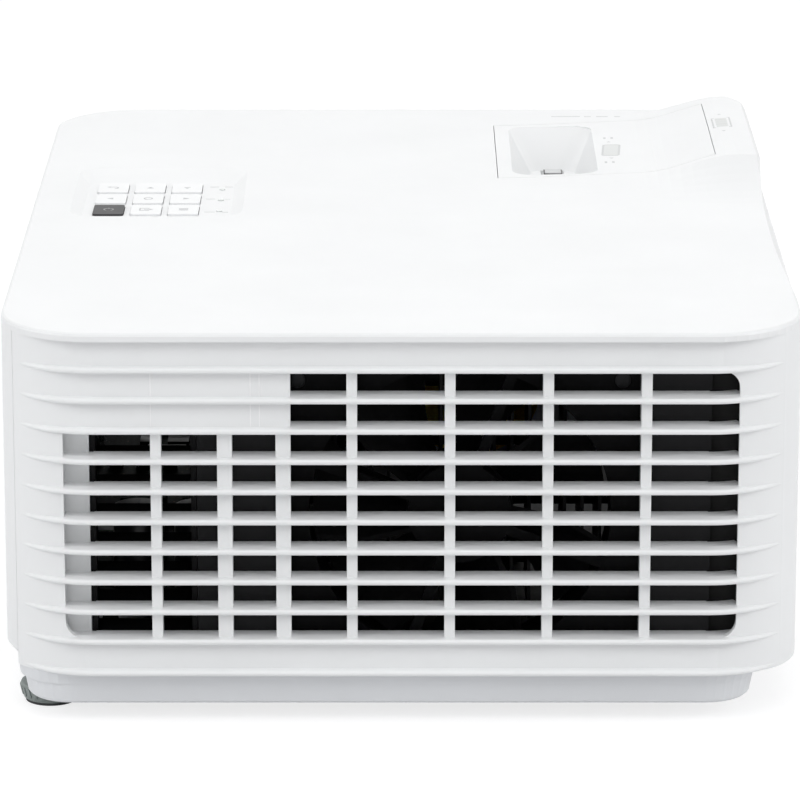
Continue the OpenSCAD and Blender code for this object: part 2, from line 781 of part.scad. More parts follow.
module audio_jacks() {
    color([0.2, 0.45, 0.3]) for (y = audio_y) difference() {
        union() {
            slab(socket_x + 1, socket_x + 15, y - 4, y + 4, socket_z, socket_z + 9);
            translate([socket_x - 1, y, socket_z + 4.5]) rotate([0, 90, 0]) cylinder(h = 3, r = 3.6);
        }
        translate([socket_x - 2, y, socket_z + 4.5]) rotate([0, 90, 0]) cylinder(h = 15, r = jack_r);
    }
}

module power_inlet() {
    color([0.1, 0.1, 0.1]) {
        difference() {
            slab(socket_x - 1.5, socket_x + 20, inlet_y - 14, inlet_y + 14, socket_z, socket_z + 23);
            slab(socket_x - 2, socket_x + 14, inlet_y - 11.5, inlet_y + 11.5, socket_z + 3.5, socket_z + 19.5);
        }
        for (pin = [[-7, 9], [7, 9], [0, 13]])
            slab(socket_x + 7, socket_x + 15, inlet_y + pin[0] - 1, inlet_y + pin[0] + 1,
                socket_z + pin[1] - 2, socket_z + pin[1] + 2);
    }
}

module main_board() {
    color([0.05, 0.3, 0.15]) {
        slab(main_x[0], main_x[1], main_y[0], main_y[1], board_z, board_z + board_t);
        slab(main_x[0] + 30, main_x[0] + 62, main_y[1] - 60, main_y[1] - 28, board_z + 1, board_z + 4);
        slab(main_x[0] + 34, main_x[0] + 50, main_y[1] - 100, main_y[1] - 84, board_z + 1, board_z + 3.5);
        for (i = [0:3])
            slab(main_x[0] + 30 + 12 * i, main_x[0] + 39 + 12 * i, main_y[1] - 78, main_y[1] - 68,
                board_z + 1, board_z + 3);
    }
}

module power_board() {
    color([0.45, 0.35, 0.15]) {
        slab(power_x[0], power_x[1], power_y[0], power_y[1], board_z, board_z + board_t);
        // transformer, choke, reservoir capacitors and a finned heat spreader
        slab(power_x[0] + 56, power_x[0] + 88, power_y[0] + 50, power_y[0] + 84, board_z + 1, board_z + 30);
        slab(power_x[0] + 30, power_x[0] + 48, power_y[0] + 70, power_y[0] + 90, board_z + 1, board_z + 24);
        for (i = [0:1])
            post(power_x[0] + 40 + 24 * i, power_y[0] + 22, board_z + 1, board_z + 34, 10);
        slab(power_x[1] - 12, power_x[1] - 9, power_y[0] + 12, power_y[1] - 12, board_z + 1, board_z + 36);
    }
}

module speaker() {
    z = floor_z + speaker_h / 2 + 3;
    color([0.15, 0.15, 0.15]) difference() {
        slab(speaker_x - speaker_w / 2, speaker_x + speaker_w / 2, speaker_y - 20, speaker_y,
            floor_z, floor_z + speaker_h);
        translate([speaker_x, speaker_y - 6, z]) rotate([-90, 0, 0]) cylinder(h = 6.1, r1 = 9, r2 = 21);
    }
    color([0.15, 0.15, 0.15])
        translate([speaker_x, speaker_y - 7, z]) rotate([-90, 0, 0]) cylinder(h = 5, r1 = 8, r2 = 5);
}

// ---------- keypad ----------

module key(i, j, tint) {
    color(tint) {
        key_cell(i, j, 0, dome_top + 0.65, key_top);
        key_cell(i, j, 0.7, dome_top + 2, lid_b - 0.3);
    }
}

module keypad_board() {
    color([0.05, 0.3, 0.15]) {
        slab(key_x(0) - 10, led_x + 6, key_y(0) - 17, key_y(2) + 17, keyboard_z, keyboard_z + board_t);
        for (i = key_rows) for (j = key_rows)
            post(key_x(i), key_y(j), keyboard_z + 1, dome_top, 3);
    }
}

module status_lights() {
    color([0.8, 0.85, 0.8])
        for (j = key_rows) post(led_x, key_y(j), keyboard_z + board_t, tray_z + 0.3, led_r);
}

// ---------- lens ----------

module lens_mount() {
    color("silver") difference() {
        union() {
            slab(engine_x[1], engine_x[1] + 6, lens_y - 42, lens_y + 42, lens_z - 42, lens_z + 42);
            on_lens_axis(engine_x[1]) cylinder(h = 6, r = 44);
        }
        on_lens_axis(engine_x[1] - 1) cylinder(h = 8, r = group_r);
    }
}

module lens_barrel() {
    bore_step = focus_0 - 9;
    color([0.08, 0.08, 0.09]) on_lens_axis(barrel_0) difference() {
        union() {
            cylinder(h = barrel_1 - barrel_0, r = barrel_r);
            cylinder(h = 4, r = 41);
            translate([0, 0, zoom_0 - barrel_0 - 3.3]) cylinder(h = 3, r = ring_r - 1.5);
            // spacer between the two rings
            translate([0, 0, zoom_1 - barrel_0 + 0.3])
                cylinder(h = focus_0 - zoom_1 - 0.6, r = ring_r - 1.5);
        }
        translate([0, 0, -1]) cylinder(h = barrel_1 - barrel_0 + 2, r = group_r);
        translate([0, 0, bore_step - barrel_0]) cylinder(h = 60, r = cell_r + play);
    }
}

module grip_ring(length, grooves) {
    difference() {
        tube(ring_r, barrel_r + play, length);
        for (i = [0:grooves - 1])
            rotate([0, 0, 360 * (i + 0.5) / grooves])
                translate([ring_r + 0.6, 0, 2]) cylinder(h = length - 4, r = 1.4);
    }
}

module zoom_ring() {
    color([0.12, 0.12, 0.13]) {
        on_lens_axis(zoom_0) grip_ring(zoom_1 - zoom_0, 24);
        slab(lever_x - lever_w / 2, lever_x + lever_w / 2, lens_y - 4, lens_y + 4,
            lens_z + barrel_r + 2, lever_top);
    }
}

module focus_ring() {
    color([0.12, 0.12, 0.13]) on_lens_axis(focus_0) grip_ring(focus_1 - focus_0, 36);
}

module zoom_lens_group() {
    color([0.3, 0.3, 0.33])
        on_lens_axis(zoom_0 + 2)
            rotate_extrude()
                polygon([[0, 4], [14, 3], [20, 0], [group_r - play, 0], [group_r - play, 20],
                    [20, 20], [14, 17], [0, 16]]);
}

module front_lens_cell() {
    color([0.1, 0.1, 0.11])
        on_lens_axis(focus_0 - 4)
            rotate_extrude($fn = 96)
                polygon([[glass_r - 2, 0], [cell_r, 0], [cell_r, 28], [glass_r + play, 28],
                    [glass_r + play, 10], [glass_r - 2, 10]]);
}

module front_lens() {
    sag = 7;
    dome = (glass_r * glass_r + sag * sag) / (2 * sag);
    half = asin(glass_r / dome);
    color([0.6, 0.75, 0.85, 0.5])
        on_lens_axis(focus_0 + 6)
            rotate_extrude($fn = 96)
                polygon(concat([[0, 0], [glass_r, 0]],
                    [for (i = [0:8]) let (a = half * (1 - i / 8))
                        [dome * sin(a), 8 + sag - dome * (1 - cos(a))]]));
}

// ---------- light engine ----------

module engine_housing() {
    color([0.55, 0.56, 0.58]) difference() {
        union() {
            slab(engine_x[0], engine_x[1], engine_y[0], engine_y[1], engine_z[0], engine_z[1]);
            slab(channel_x[0], channel_x[1], channel_y, engine_y[0] + 1, channel_z[0], channel_z[1]);
        }
        slab(engine_x[0] + 4, engine_x[1] - 4, engine_y[0] + 4, engine_y[1] - 4, engine_z[0] + 4, engine_z[1] - 4);
        slab(channel_x[0] + 3, channel_x[1] - 3, channel_y - 1, engine_y[0] + 6, channel_z[0] + 3, channel_z[1] - 3);
        on_lens_axis(engine_x[1] - 5) cylinder(h = 6, r = group_r);
        // window to the imaging chip
        slab(engine_x[0] - 1, engine_x[0] + 5, lens_y - 12, lens_y + 12, lens_z - 8, lens_z + 8);
        // slot for the colour wheel
        slab(channel_x[1] - 8, channel_x[1] + 1, colour_y - 3, colour_y + 4, wheel_z - colour_r - 2, channel_z[1] + 1);
    }
}

module dmd_board() {
    color([0.05, 0.3, 0.15])
        slab(engine_x[0] - board_t, engine_x[0], lens_y - 30, lens_y + 30, lens_z - 32, lens_z + 32);
}

module fins(x0, x1, y0, y1, z0, z1, count, t) {
    step = (x1 - x0 - t) / (count - 1);
    for (i = [0:count - 1]) slab(x0 + i * step, x0 + i * step + t, y0, y1, z0, z1);
}

module dmd_heat_sink() {
    x1 = engine_x[0] - board_t;
    color("silver") {
        slab(x1 - 5, x1, lens_y - 26, lens_y + 26, lens_z - 26, lens_z + 26);
        translate([x1 - 24, lens_y, 0]) rotate([0, 0, 90])
            fins(-26, 26, -20, 0, lens_z - 26, lens_z + 26, 9, 1.5);
    }
}

module wheel(x, y, r, shaft) {
    translate([x, y, wheel_z]) rotate([90, 0, 0]) {
        cylinder(h = wheel_t, r = r, $fn = 96);
        translate([0, 0, -1.5]) cylinder(h = 4, r = 8);
        translate([0, 0, -1.5]) cylinder(h = shaft, r = 2);
    }
}

// motor on its leg; the wheel's shaft turns in its bore
module wheel_motor(x, y, side) {
    difference() {
        union() {
            translate([x, y, wheel_z]) rotate([90, 0, 0]) cylinder(h = 14, r = motor_r);
            slab(x - 6, x + 6, y - 13, y - 10, floor_z, wheel_z);
            slab(x - 12, x + 12, y - 13, y - 10, floor_z, floor_z + 14);
        }
        translate([x, y + 1, wheel_z]) rotate([90, 0, 0]) cylinder(h = 11, r = 2 + play);
    }
}

module phosphor_wheel() {
    color([0.85, 0.75, 0.2]) wheel(phosphor_x, channel_y - 4, phosphor_r, 12);
}

module phosphor_wheel_motor() {
    color("dimgray") wheel_motor(phosphor_x, channel_y - 7, -1);
}

module colour_wheel() {
    color([0.5, 0.6, 0.8]) wheel(colour_x, colour_y + 1, colour_r, 12);
}

module colour_wheel_motor() {
    color("dimgray") wheel_motor(colour_x, colour_y - 2, -1);
}

module laser_module() {
    color([0.72, 0.45, 0.25]) {
        slab(laser_x[0], laser_x[1], sink_y[0], sink_y[1] - 8, 45, 125);
        slab(laser_x[0] + 8, laser_x[0] + 12, sink_y[0] + 6, sink_y[1] - 14, floor_z, 46);
        for (i = [0:1]) for (j = [0:3])
            translate([laser_x[0] + 7 + 12 * i, sink_y[1] - 9, 56 + 19 * j]) rotate([-90, 0, 0]) cylinder(h = 5, r = 4);
    }
}

module laser_heat_sink() {
    color("silver") {
        fins(sink_x[0], sink_x[1], sink_y[0], sink_y[1], 30, sink_top, 19, 1.2);
        for (x = [sink_x[0], sink_x[1] - 1.2])
            slab(x, x + 1.2, sink_y[0], sink_y[1], floor_z, 31);
        for (z = [48, 72, 96, 120])
            translate([sink_x[0] - 3, (sink_y[0] + sink_y[1]) / 2, z])
                rotate([0, 90, 0]) cylinder(h = laser_x[0] - sink_x[0] + 3, r = 4);
    }
}

// ---------- cooling ----------

// fan frame in its own frame: air passes along Z, the struts are at z = 0
module fan_frame(w, h, bore_r) {
    difference() {
        linear_extrude(fan_t) difference() {
            square([w, h], center = true);
            circle(bore_r);
        }
        for (x = [-1, 1]) for (y = [-1, 1])
            translate([x * (w / 2 - 7.5), y * (h / 2 - 7.5), -1]) cylinder(h = fan_t + 2, r = 2.2);
    }
    difference() {
        union() {
            cylinder(h = 6, r = bore_r * 0.34);
            for (a = [20:90:290])
                rotate([0, 0, a]) translate([bore_r * 0.3, -2, 0]) cube([bore_r * 0.72, 4, 4]);
        }
        translate([0, 0, 2]) cylinder(h = 5, r = 1.5 + play);
    }
}

// rotor for that frame: cup-shaped hub, swept blades, shaft towards the struts
module fan_rotor(tip_r, blades) {
    hub_r = tip_r * 0.36;
    difference() {
        translate([0, 0, 7]) cylinder(h = fan_t - 8.5, r = hub_r);
        translate([0, 0, fan_t - 2.5]) tube(hub_r - 4, hub_r - 6, 3);
    }
    translate([0, 0, 2.5]) cylinder(h = 6, r = 1.5);
    translate([0, 0, 7.5])
        linear_extrude(height = fan_t - 10, twist = -36, slices = 4, $fn = 8)
            for (i = [0:blades - 1])
                rotate([0, 0, 360 * i / blades])
                    polygon([polar(hub_r - 1.5, -4), polar(tip_r * 0.7, 5), polar(tip_r, 13),
                        polar(tip_r, 15), polar(tip_r * 0.7, 8), polar(hub_r - 1.5, 2)]);
}

module in_exhaust() {
    translate([exhaust_x, exhaust_y, exhaust_z]) rotate([-90, 0, 0]) children();
}

module in_intake() {
    translate([intake_x, intake_y - fan_t, intake_z]) rotate([-90, 0, 0]) children();
}

module fan_bracket() {
    color([0.15, 0.15, 0.16]) difference() {
        slab(bracket_x[0], bracket_x[1], bracket_y, bracket_y + bracket_t, floor_z, bracket_top);
        slab(exhaust_0 + 1, exhaust_1 - 1, bracket_y - 1, bracket_y + bracket_t + 1,
            exhaust_z - exhaust_h / 2 + 1, exhaust_z + exhaust_h / 2 - 1);
    }
}

module exhaust_fan_frame() {
    color([0.06, 0.06, 0.07]) in_exhaust() fan_frame(exhaust_w, exhaust_h, exhaust_h / 2 - 2.5);
}

module exhaust_fan_rotor() {
    color([0.08, 0.08, 0.09]) in_exhaust() fan_rotor(exhaust_h / 2 - 4, 7);
}

module intake_fan_frame() {
    color([0.06, 0.06, 0.07]) {
        in_intake() fan_frame(intake_size, intake_size, intake_size / 2 - 2.5);
        for (x = [-1, 1])
            slab(intake_x + x * (intake_size / 2 - 8) - 5, intake_x + x * (intake_size / 2 - 8) + 5,
                intake_y - fan_t, intake_y, floor_z, intake_z - intake_size / 2);
    }
}

module intake_fan_rotor() {
    color([0.08, 0.08, 0.09]) in_intake() fan_rotor(intake_size / 2 - 4, 7);
}

module light_baffle() {
    x0 = -corner_x - 1.5;
    x1 = bracket_x[0] - 0.3;
    z1 = rib_z(2);
    slats = 9;
    color([0.1, 0.1, 0.11]) {
        for (x = [x0, x1 - 2]) slab(x, x + 2, bracket_y, bracket_y + 10, floor_z, z1);
        for (i = [0:slats - 1])
            translate([x0 + 1, bracket_y + 0.8, field_bottom - 2 + i * (z1 - field_bottom - 1) / (slats - 1)])
                rotate([20, 0, 0]) cube([x1 - x0 - 2, 9, 1.5]);
    }
}

// ---------- feet ----------

module foot(at) {
    color([0.55, 0.57, 0.57]) {
        translate([at[0], at[1], 0]) rotate_extrude() polygon([
            [0, pad_t], [foot_r - 1.9, pad_t], [foot_r - 1.3, pad_t + 0.4], [foot_r - 1.1, pad_t + 1.2],
            [foot_r, foot_gap - 1.1], [foot_r - 0.4, foot_gap - 0.3], [0, foot_gap - 0.3]]);
        post(at[0], at[1], foot_gap - 1, stud_top, stud_r);
    }
}

module pad(at) {
    color([0.12, 0.12, 0.12]) post(at[0], at[1], 0, pad_t, foot_r - 2);
}

bottom_case();
top_cover();
lens_access_cover();
right_side_grille();
left_side_grille();
front_cover();
rear_cover();
connector_plate();
lens_bezel();
ir_window();
cover_screws();
key(0, 0, [0.4, 0.4, 0.41]);  // key_power
key(1, 0, "white");  // key_source
key(2, 0, "white");  // key_menu
key(0, 1, "white");  // key_left
key(1, 1, "white");  // key_enter
key(2, 1, "white");  // key_right
key(0, 2, "white");  // key_back
key(1, 2, "white");  // key_up
key(2, 2, "white");  // key_down
keypad_board();
status_lights();
lens_mount();
lens_barrel();
zoom_ring();
zoom_lens_group();
focus_ring();
front_lens_cell();
front_lens();
laser_module();
laser_heat_sink();
phosphor_wheel();
phosphor_wheel_motor();
colour_wheel();
colour_wheel_motor();
engine_housing();
dmd_board();
dmd_heat_sink();
fan_bracket();
exhaust_fan_frame();
exhaust_fan_rotor();
light_baffle();
intake_fan_frame();
intake_fan_rotor();
main_board();
power_board();
speaker();
hdmi_sockets();
usb_socket();
lan_socket();
serial_port();
audio_jacks();
power_inlet();
foot(foot_front);
foot(foot_right);  // foot_rear_right
foot(foot_left);  // foot_rear_left
pad(foot_front);  // pad_front
pad(foot_right);  // pad_rear_right
pad(foot_left);  // pad_rear_left
ceiling_inserts();
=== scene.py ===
"""Laser installation projector: finishes, moulded details, key signs and studio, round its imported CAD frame."""
import math

import bpy
import bmesh
from mathutils import Matrix, Vector


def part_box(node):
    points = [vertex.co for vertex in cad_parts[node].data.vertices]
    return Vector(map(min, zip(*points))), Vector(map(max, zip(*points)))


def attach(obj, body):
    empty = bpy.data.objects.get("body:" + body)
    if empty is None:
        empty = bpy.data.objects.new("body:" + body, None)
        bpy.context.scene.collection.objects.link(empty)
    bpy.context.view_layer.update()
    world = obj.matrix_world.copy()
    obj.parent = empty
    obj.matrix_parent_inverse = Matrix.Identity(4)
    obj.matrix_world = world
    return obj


bl_info = {
    "name": "Laser Projector",
    "version": (1, 0, 0),
    "blender": (4, 5, 0),
    "location": "3D View > Sidebar > Projector",
    "description": "Finishes and details of a louvred laser projector on its CAD frame",
    "category": "Object",
}

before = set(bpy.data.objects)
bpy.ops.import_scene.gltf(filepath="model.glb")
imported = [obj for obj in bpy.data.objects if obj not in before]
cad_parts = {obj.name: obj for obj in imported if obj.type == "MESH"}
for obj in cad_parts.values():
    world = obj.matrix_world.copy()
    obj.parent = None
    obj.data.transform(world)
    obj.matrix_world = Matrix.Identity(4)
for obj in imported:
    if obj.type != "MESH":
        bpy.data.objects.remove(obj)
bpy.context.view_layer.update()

KEYS = ("power", "source", "menu", "left", "enter", "right", "back", "up", "down")
FEET = ("front", "rear_right", "rear_left")
SHELLS = ("top_cover", "lens_access_cover", "right_side_grille", "left_side_grille", "front_cover",
          "rear_cover")

# places on the CAD model, in metres
LENS_Y, LENS_Z = 0.114, 0.102
LEVER_X = 0.066
CLOSED_ROW_Y = -0.199
BOARD_TOP = 0.0336
PICTURE_YS, PICTURE_Z = (0.135, 0.110), 0.0378
DATA_Y, DATA_Z = 0.085, 0.0376
NETWORK_Y = 0.060
SERIAL_Y, SERIAL_Z = 0.025, 0.0401
AUDIO_IN_Y, AUDIO_OUT_Y, AUDIO_Z = 0.0, -0.014, 0.0381
INLET_Y = -0.120

# prints: how thick they are, and how far the middle of their thickness lies over the cover
PRINT_HEIGHT = 0.00006
PRINT_LIFT = 0.00003
OUTLINE_HEIGHT = 0.00008
FLUSH_LIFT = -0.00002

SMOOTH_ANGLE = math.radians(35.0)
ORIGIN = (0.0, 0.0, 0.0)
AXIS_TURNS = {"X": (0.0, math.pi / 2, 0.0), "Y": (math.pi / 2, 0.0, 0.0), "Z": ORIGIN}

# patterns: patches per metre, and the darker tone as a share of the lighter one
DRIFT_SCALE = 18.0
SHEEN_SCALE = 220.0
PLASTIC_GRAIN = 1500.0
FINE_GRAIN = 3000.0
PLASTIC_TONE = 0.97
METAL_TONE = 0.86
PLASTIC_GLOSS = 0.5
WHITE = (1.0, 1.0, 1.0, 1.0)


# ---------------------------------------------------------------- settings

class ProjectorSizes(bpy.types.PropertyGroup):
    """Sizes of the key signs and the camera's place."""

    print_height: bpy.props.FloatProperty(
        name="Print height", description="How thick the printed sign on a key is",
        default=PRINT_HEIGHT, min=0.00002, max=0.0002, unit="LENGTH")
    sign_size: bpy.props.FloatProperty(
        name="Sign size", description="Height of the sign on a key",
        default=0.0056, min=0.002, max=0.008, unit="LENGTH")
    camera_height: bpy.props.FloatProperty(
        name="Camera height", description="Height of the camera over the table",
        default=0.6319, min=0.2, max=2.0, unit="LENGTH")
    camera_distance: bpy.props.FloatProperty(
        name="Camera distance", description="Distance of the camera from the middle of the projector",
        default=2.0435, min=1.0, max=4.0, unit="LENGTH")
    camera_pitch: bpy.props.FloatProperty(
        name="Camera pitch", description="How far the camera looks down",
        default=math.radians(15.24), min=0.0, max=1.5, subtype="ANGLE")
    camera_lens: bpy.props.FloatProperty(
        name="Focal length", description="Focal length in millimetres on a 36 mm sensor",
        default=228.7, min=50.0, max=400.0)


class ProjectorColours(bpy.types.PropertyGroup):
    """Colours of the finishes."""

    shell: bpy.props.FloatVectorProperty(
        name="Shell", description="White plastic of the covers", subtype="COLOR",
        size=3, min=0.0, max=1.0, default=(0.812, 0.822, 0.829))
    base: bpy.props.FloatVectorProperty(
        name="Bottom case", description="Plastic of the bottom case", subtype="COLOR",
        size=3, min=0.0, max=1.0, default=(0.72, 0.735, 0.755))
    power_key: bpy.props.FloatVectorProperty(
        name="Power key", description="Dark plastic of the power key", subtype="COLOR",
        size=3, min=0.0, max=1.0, default=(0.055, 0.055, 0.057))
    print_grey: bpy.props.FloatVectorProperty(
        name="Print", description="Grey ink of the signs on the white keys", subtype="COLOR",
        size=3, min=0.0, max=1.0, default=(0.50, 0.51, 0.52))
    foot: bpy.props.FloatVectorProperty(
        name="Foot", description="Grey plastic of the adjuster feet", subtype="COLOR",
        size=3, min=0.0, max=1.0, default=(0.24, 0.27, 0.26))
    lens: bpy.props.FloatVectorProperty(
        name="Lens", description="Black of the lens barrel and rings", subtype="COLOR",
        size=3, min=0.0, max=1.0, default=(0.018, 0.018, 0.020))


# ---------------------------------------------------------------- materials

def new_material(name):
    """An empty material, with its node tree and its shader."""
    material = bpy.data.materials.new(name)
    material.use_nodes = True
    return material, material.node_tree, material.node_tree.nodes["Principled BSDF"]


def add(tree, kind, **settings):
    """Adds a node; settings name its properties, or its input sockets where they start with in_."""
    node = tree.nodes.new(kind)
    for key, value in settings.items():
        if key.startswith("in_"):
            node.inputs[key[3:].replace("_", " ")].default_value = value
        else:
            setattr(node, key, value)
    return node


def object_place(tree, scale=(1.0, 1.0, 1.0)):
    """Object coordinates through a Mapping node."""
    place = add(tree, "ShaderNodeTexCoord")
    mapping = add(tree, "ShaderNodeMapping", in_Scale=scale)
    tree.links.new(place.outputs["Object"], mapping.inputs["Vector"])
    return mapping.outputs["Vector"]


def noise(tree, vector, scale, detail=2.0):
    """A noise pattern's grey value; scale is in patches per metre."""
    node = add(tree, "ShaderNodeTexNoise", in_Scale=scale, in_Detail=detail)
    tree.links.new(vector, node.inputs["Vector"])
    return node.outputs["Fac"]


def ramp(tree, value, low, high, low_colour, high_colour):
    """Turns a grey value into a colour between two stops."""
    node = add(tree, "ShaderNodeValToRGB")
    for stop, position, colour in zip(node.color_ramp.elements, (low, high), (low_colour, high_colour)):
        stop.position = position
        stop.color = (*colour, 1.0)
    tree.links.new(value, node.inputs["Fac"])
    return node.outputs["Color"]


def stretch(tree, value, low, high):
    """Maps a grey value from 0..1 to a range."""
    node = add(tree, "ShaderNodeMapRange", in_To_Min=low, in_To_Max=high)
    tree.links.new(value, node.inputs["Value"])
    return node.outputs["Result"]


def bump(tree, shader, value, strength, distance):
    """Feeds a height pattern to the shader's normal."""
    node = add(tree, "ShaderNodeBump", in_Strength=strength, in_Distance=distance)
    tree.links.new(value, node.inputs["Height"])
    tree.links.new(node.outputs["Normal"], shader.inputs["Normal"])


def moulded_plastic(name, colour, rough=0.45, grain=PLASTIC_GRAIN, depth=0.00004, gloss=PLASTIC_GLOSS):
    """Spark-eroded plastic: a fine grain, and a faint drift of colour and gloss."""
    material, tree, shader = new_material(name)
    shader.inputs["Specular IOR Level"].default_value = gloss
    place = object_place(tree)
    darker = tuple(c * PLASTIC_TONE for c in colour)
    drift = ramp(tree, noise(tree, place, DRIFT_SCALE), 0.3, 0.7, darker, colour)
    sheen = stretch(tree, noise(tree, place, SHEEN_SCALE), rough - 0.05, rough + 0.05)
    tree.links.new(drift, shader.inputs["Base Color"])
    tree.links.new(sheen, shader.inputs["Roughness"])
    bump(tree, shader, noise(tree, place, grain, 3.0), 0.25, depth)
    return material


def metal(name, colour, rough=0.35, streak=(1.0, 1.0, 1.0), grain=400.0, depth=0.00003):
    """Metal with its milling, drawing or casting marks; streak squeezes them along each axis."""
    material, tree, shader = new_material(name)
    shader.inputs["Metallic"].default_value = 1.0
    marks = noise(tree, object_place(tree, streak), grain, 4.0)
    darker = tuple(c * METAL_TONE for c in colour)
    tree.links.new(ramp(tree, marks, 0.3, 0.7, darker, colour), shader.inputs["Base Color"])
    tree.links.new(stretch(tree, marks, rough - 0.08, rough + 0.08), shader.inputs["Roughness"])
    bump(tree, shader, marks, 0.3, depth)
    return material


def circuit_board(name):
    """Solder resist over copper tracks, with tinned pads, all in near-black tones: painted shade of the unlit
    inside of the case.
    """
    material, tree, shader = new_material(name)
    shader.inputs["Roughness"].default_value = 0.6
    shader.inputs["Specular IOR Level"].default_value = 0.08
    place = object_place(tree)
    tracks = add(tree, "ShaderNodeTexBrick", in_Scale=130.0, offset=0.37, squash=0.6, in_Mortar_Size=0.06,
                 in_Color1=(0.003, 0.008, 0.006, 1.0), in_Color2=(0.004, 0.010, 0.007, 1.0),
                 in_Mortar=(0.010, 0.022, 0.016, 1.0))
    tree.links.new(place, tracks.inputs["Vector"])
    pads = add(tree, "ShaderNodeTexVoronoi", in_Scale=260.0)
    tree.links.new(place, pads.inputs["Vector"])
    dots = ramp(tree, pads.outputs["Distance"], 0.10, 0.14, (1.0, 1.0, 1.0), (0.0, 0.0, 0.0))
    mix = add(tree, "ShaderNodeMix", data_type="RGBA")
    tree.links.new(dots, mix.inputs["Factor"])
    tree.links.new(tracks.outputs["Color"], mix.inputs["A"])
    mix.inputs["B"].default_value = (0.10, 0.085, 0.055, 1.0)
    tree.links.new(mix.outputs["Result"], shader.inputs["Base Color"])
    bump(tree, shader, tracks.outputs["Fac"], 0.4, 0.00004)
    return material


def clear_glass(name, colour, rough, cast):
    """Coated optical glass; its colour drifts by cast."""
    material, tree, shader = new_material(name)
    drift = noise(tree, object_place(tree), 22.0)
    tint = tuple(min(1.0, c + cast) for c in colour)
    tree.links.new(ramp(tree, drift, 0.35, 0.65, colour, tint), shader.inputs["Base Color"])
    for socket, value in (("Roughness", rough), ("Transmission Weight", 1.0), ("IOR", 1.6),
                          ("Coat Weight", 1.0), ("Coat Tint", (0.55, 0.5, 0.95, 1.0))):
        shader.inputs[socket].default_value = value
    return material


def rubber(name, colour):
    """Matt rubber with a coarse skin."""
    material, tree, shader = new_material(name)
    shader.inputs["Roughness"].default_value = 0.85
    place = object_place(tree)
    tone = ramp(tree, noise(tree, place, 300.0), 0.35, 0.65, colour, tuple(c * 1.4 for c in colour))
    tree.links.new(tone, shader.inputs["Base Color"])
    bump(tree, shader, noise(tree, place, 900.0, 4.0), 0.5, 0.00008)
    return material


def phosphor(name):
    """Yellow phosphor coat of the wheel."""
    material, tree, shader = new_material(name)
    shader.inputs["Roughness"].default_value = 0.6
    drift = noise(tree, object_place(tree), 500.0, 3.0)
    tone = ramp(tree, drift, 0.3, 0.7, (0.55, 0.42, 0.05), (0.72, 0.6, 0.1))
    tree.links.new(tone, shader.inputs["Base Color"])
    bump(tree, shader, drift, 0.3, 0.00003)
    return material


def seen_directly(tree):
    """1 for what the camera sees, straight on or in gloss or glass, and 0 for what only lights the object."""
    paths = add(tree, "ShaderNodeLightPath")
    seen = paths.outputs["Is Camera Ray"]
    for kind in ("Is Transmission Ray", "Is Glossy Ray"):
        either = add(tree, "ShaderNodeMath", operation="ADD", use_clamp=True)
        tree.links.new(seen, either.inputs[0])
        tree.links.new(paths.outputs[kind], either.inputs[1])
        seen = either.outputs[0]
    return seen


def mix_shaders(tree, share, first, second):
    """Goes over from the first shader node to the second as share rises from 0 to 1."""
    mix = add(tree, "ShaderNodeMixShader")
    tree.links.new(share, mix.inputs["Fac"])
    tree.links.new(first.outputs[0], mix.inputs[1])
    tree.links.new(second.outputs[0], mix.inputs[2])
    return mix


def studio_paper():
    """Matt white paper that the camera sees a little brighter, and that keeps the object's shadow."""
    material, tree, shader = new_material("studio_paper")
    shader.inputs["Base Color"].default_value = (0.80, 0.80, 0.81, 1.0)
    shader.inputs["Roughness"].default_value = 0.95
    shader.inputs["Specular IOR Level"].default_value = 0.0
    thin = add(tree, "ShaderNodeBsdfDiffuse", in_Color=(0.36, 0.36, 0.365, 1.0))
    glow = add(tree, "ShaderNodeEmission", in_Color=WHITE, in_Strength=0.74)
    near = add(tree, "ShaderNodeAddShader")
    tree.links.new(thin.outputs[0], near.inputs[0])
    tree.links.new(glow.outputs[0], near.inputs[1])
    # away from the object, where its shadow ends, the paper goes over into the white of the backdrop
    reach = add(tree, "ShaderNodeVectorMath", operation="LENGTH")
    tree.links.new(object_place(tree), reach.inputs[0])
    fade = add(tree, "ShaderNodeMapRange", in_From_Min=0.6, in_From_Max=2.0)
    tree.links.new(reach.outputs["Value"], fade.inputs["Value"])
    far = add(tree, "ShaderNodeEmission", in_Color=WHITE, in_Strength=1.0)
    sheet = mix_shaders(tree, fade.outputs["Result"], near, far)
    paper = mix_shaders(tree, seen_directly(tree), shader, sheet)
    tree.links.new(paper.outputs[0], tree.nodes["Material Output"].inputs["Surface"])
    return material


def dress(material, *nodes):
    """Gives CAD nodes a finish."""
    for name in nodes:
        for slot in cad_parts[name].material_slots:
            slot.material = material


# ---------------------------------------------------------------- modelling by hand

def primitive(kind, **settings):
    """Adds a primitive with nothing else selected."""
    bpy.ops.object.select_all(action="DESELECT")
    getattr(bpy.ops.mesh, "primitive_" + kind + "_add")(**settings)
    return bpy.context.object


def apply_place():
    """Puts the place, turn and scale of the selected pieces in their meshes."""
    bpy.ops.object.transform_apply(location=True, rotation=True, scale=True)


def to_edit(piece, mode="VERT", action="DESELECT"):
    """Opens a piece for editing, with nothing selected unless action says otherwise."""
    bpy.context.view_layer.objects.active = piece
    bpy.ops.object.mode_set(mode="EDIT")
    bpy.ops.mesh.select_mode(type=mode)
    bpy.ops.mesh.select_all(action=action)


def to_object():
    """Closes the piece that is being edited."""
    bpy.ops.object.mode_set(mode="OBJECT")


def pick_faces(piece, wanted):
    """Selects the faces for whose normal wanted holds, in edit mode."""
    mesh = bmesh.from_edit_mesh(piece.data)
    for face in mesh.faces:
        face.select = wanted(face.normal)
    mesh.select_flush_mode()
    bmesh.update_edit_mesh(piece.data)


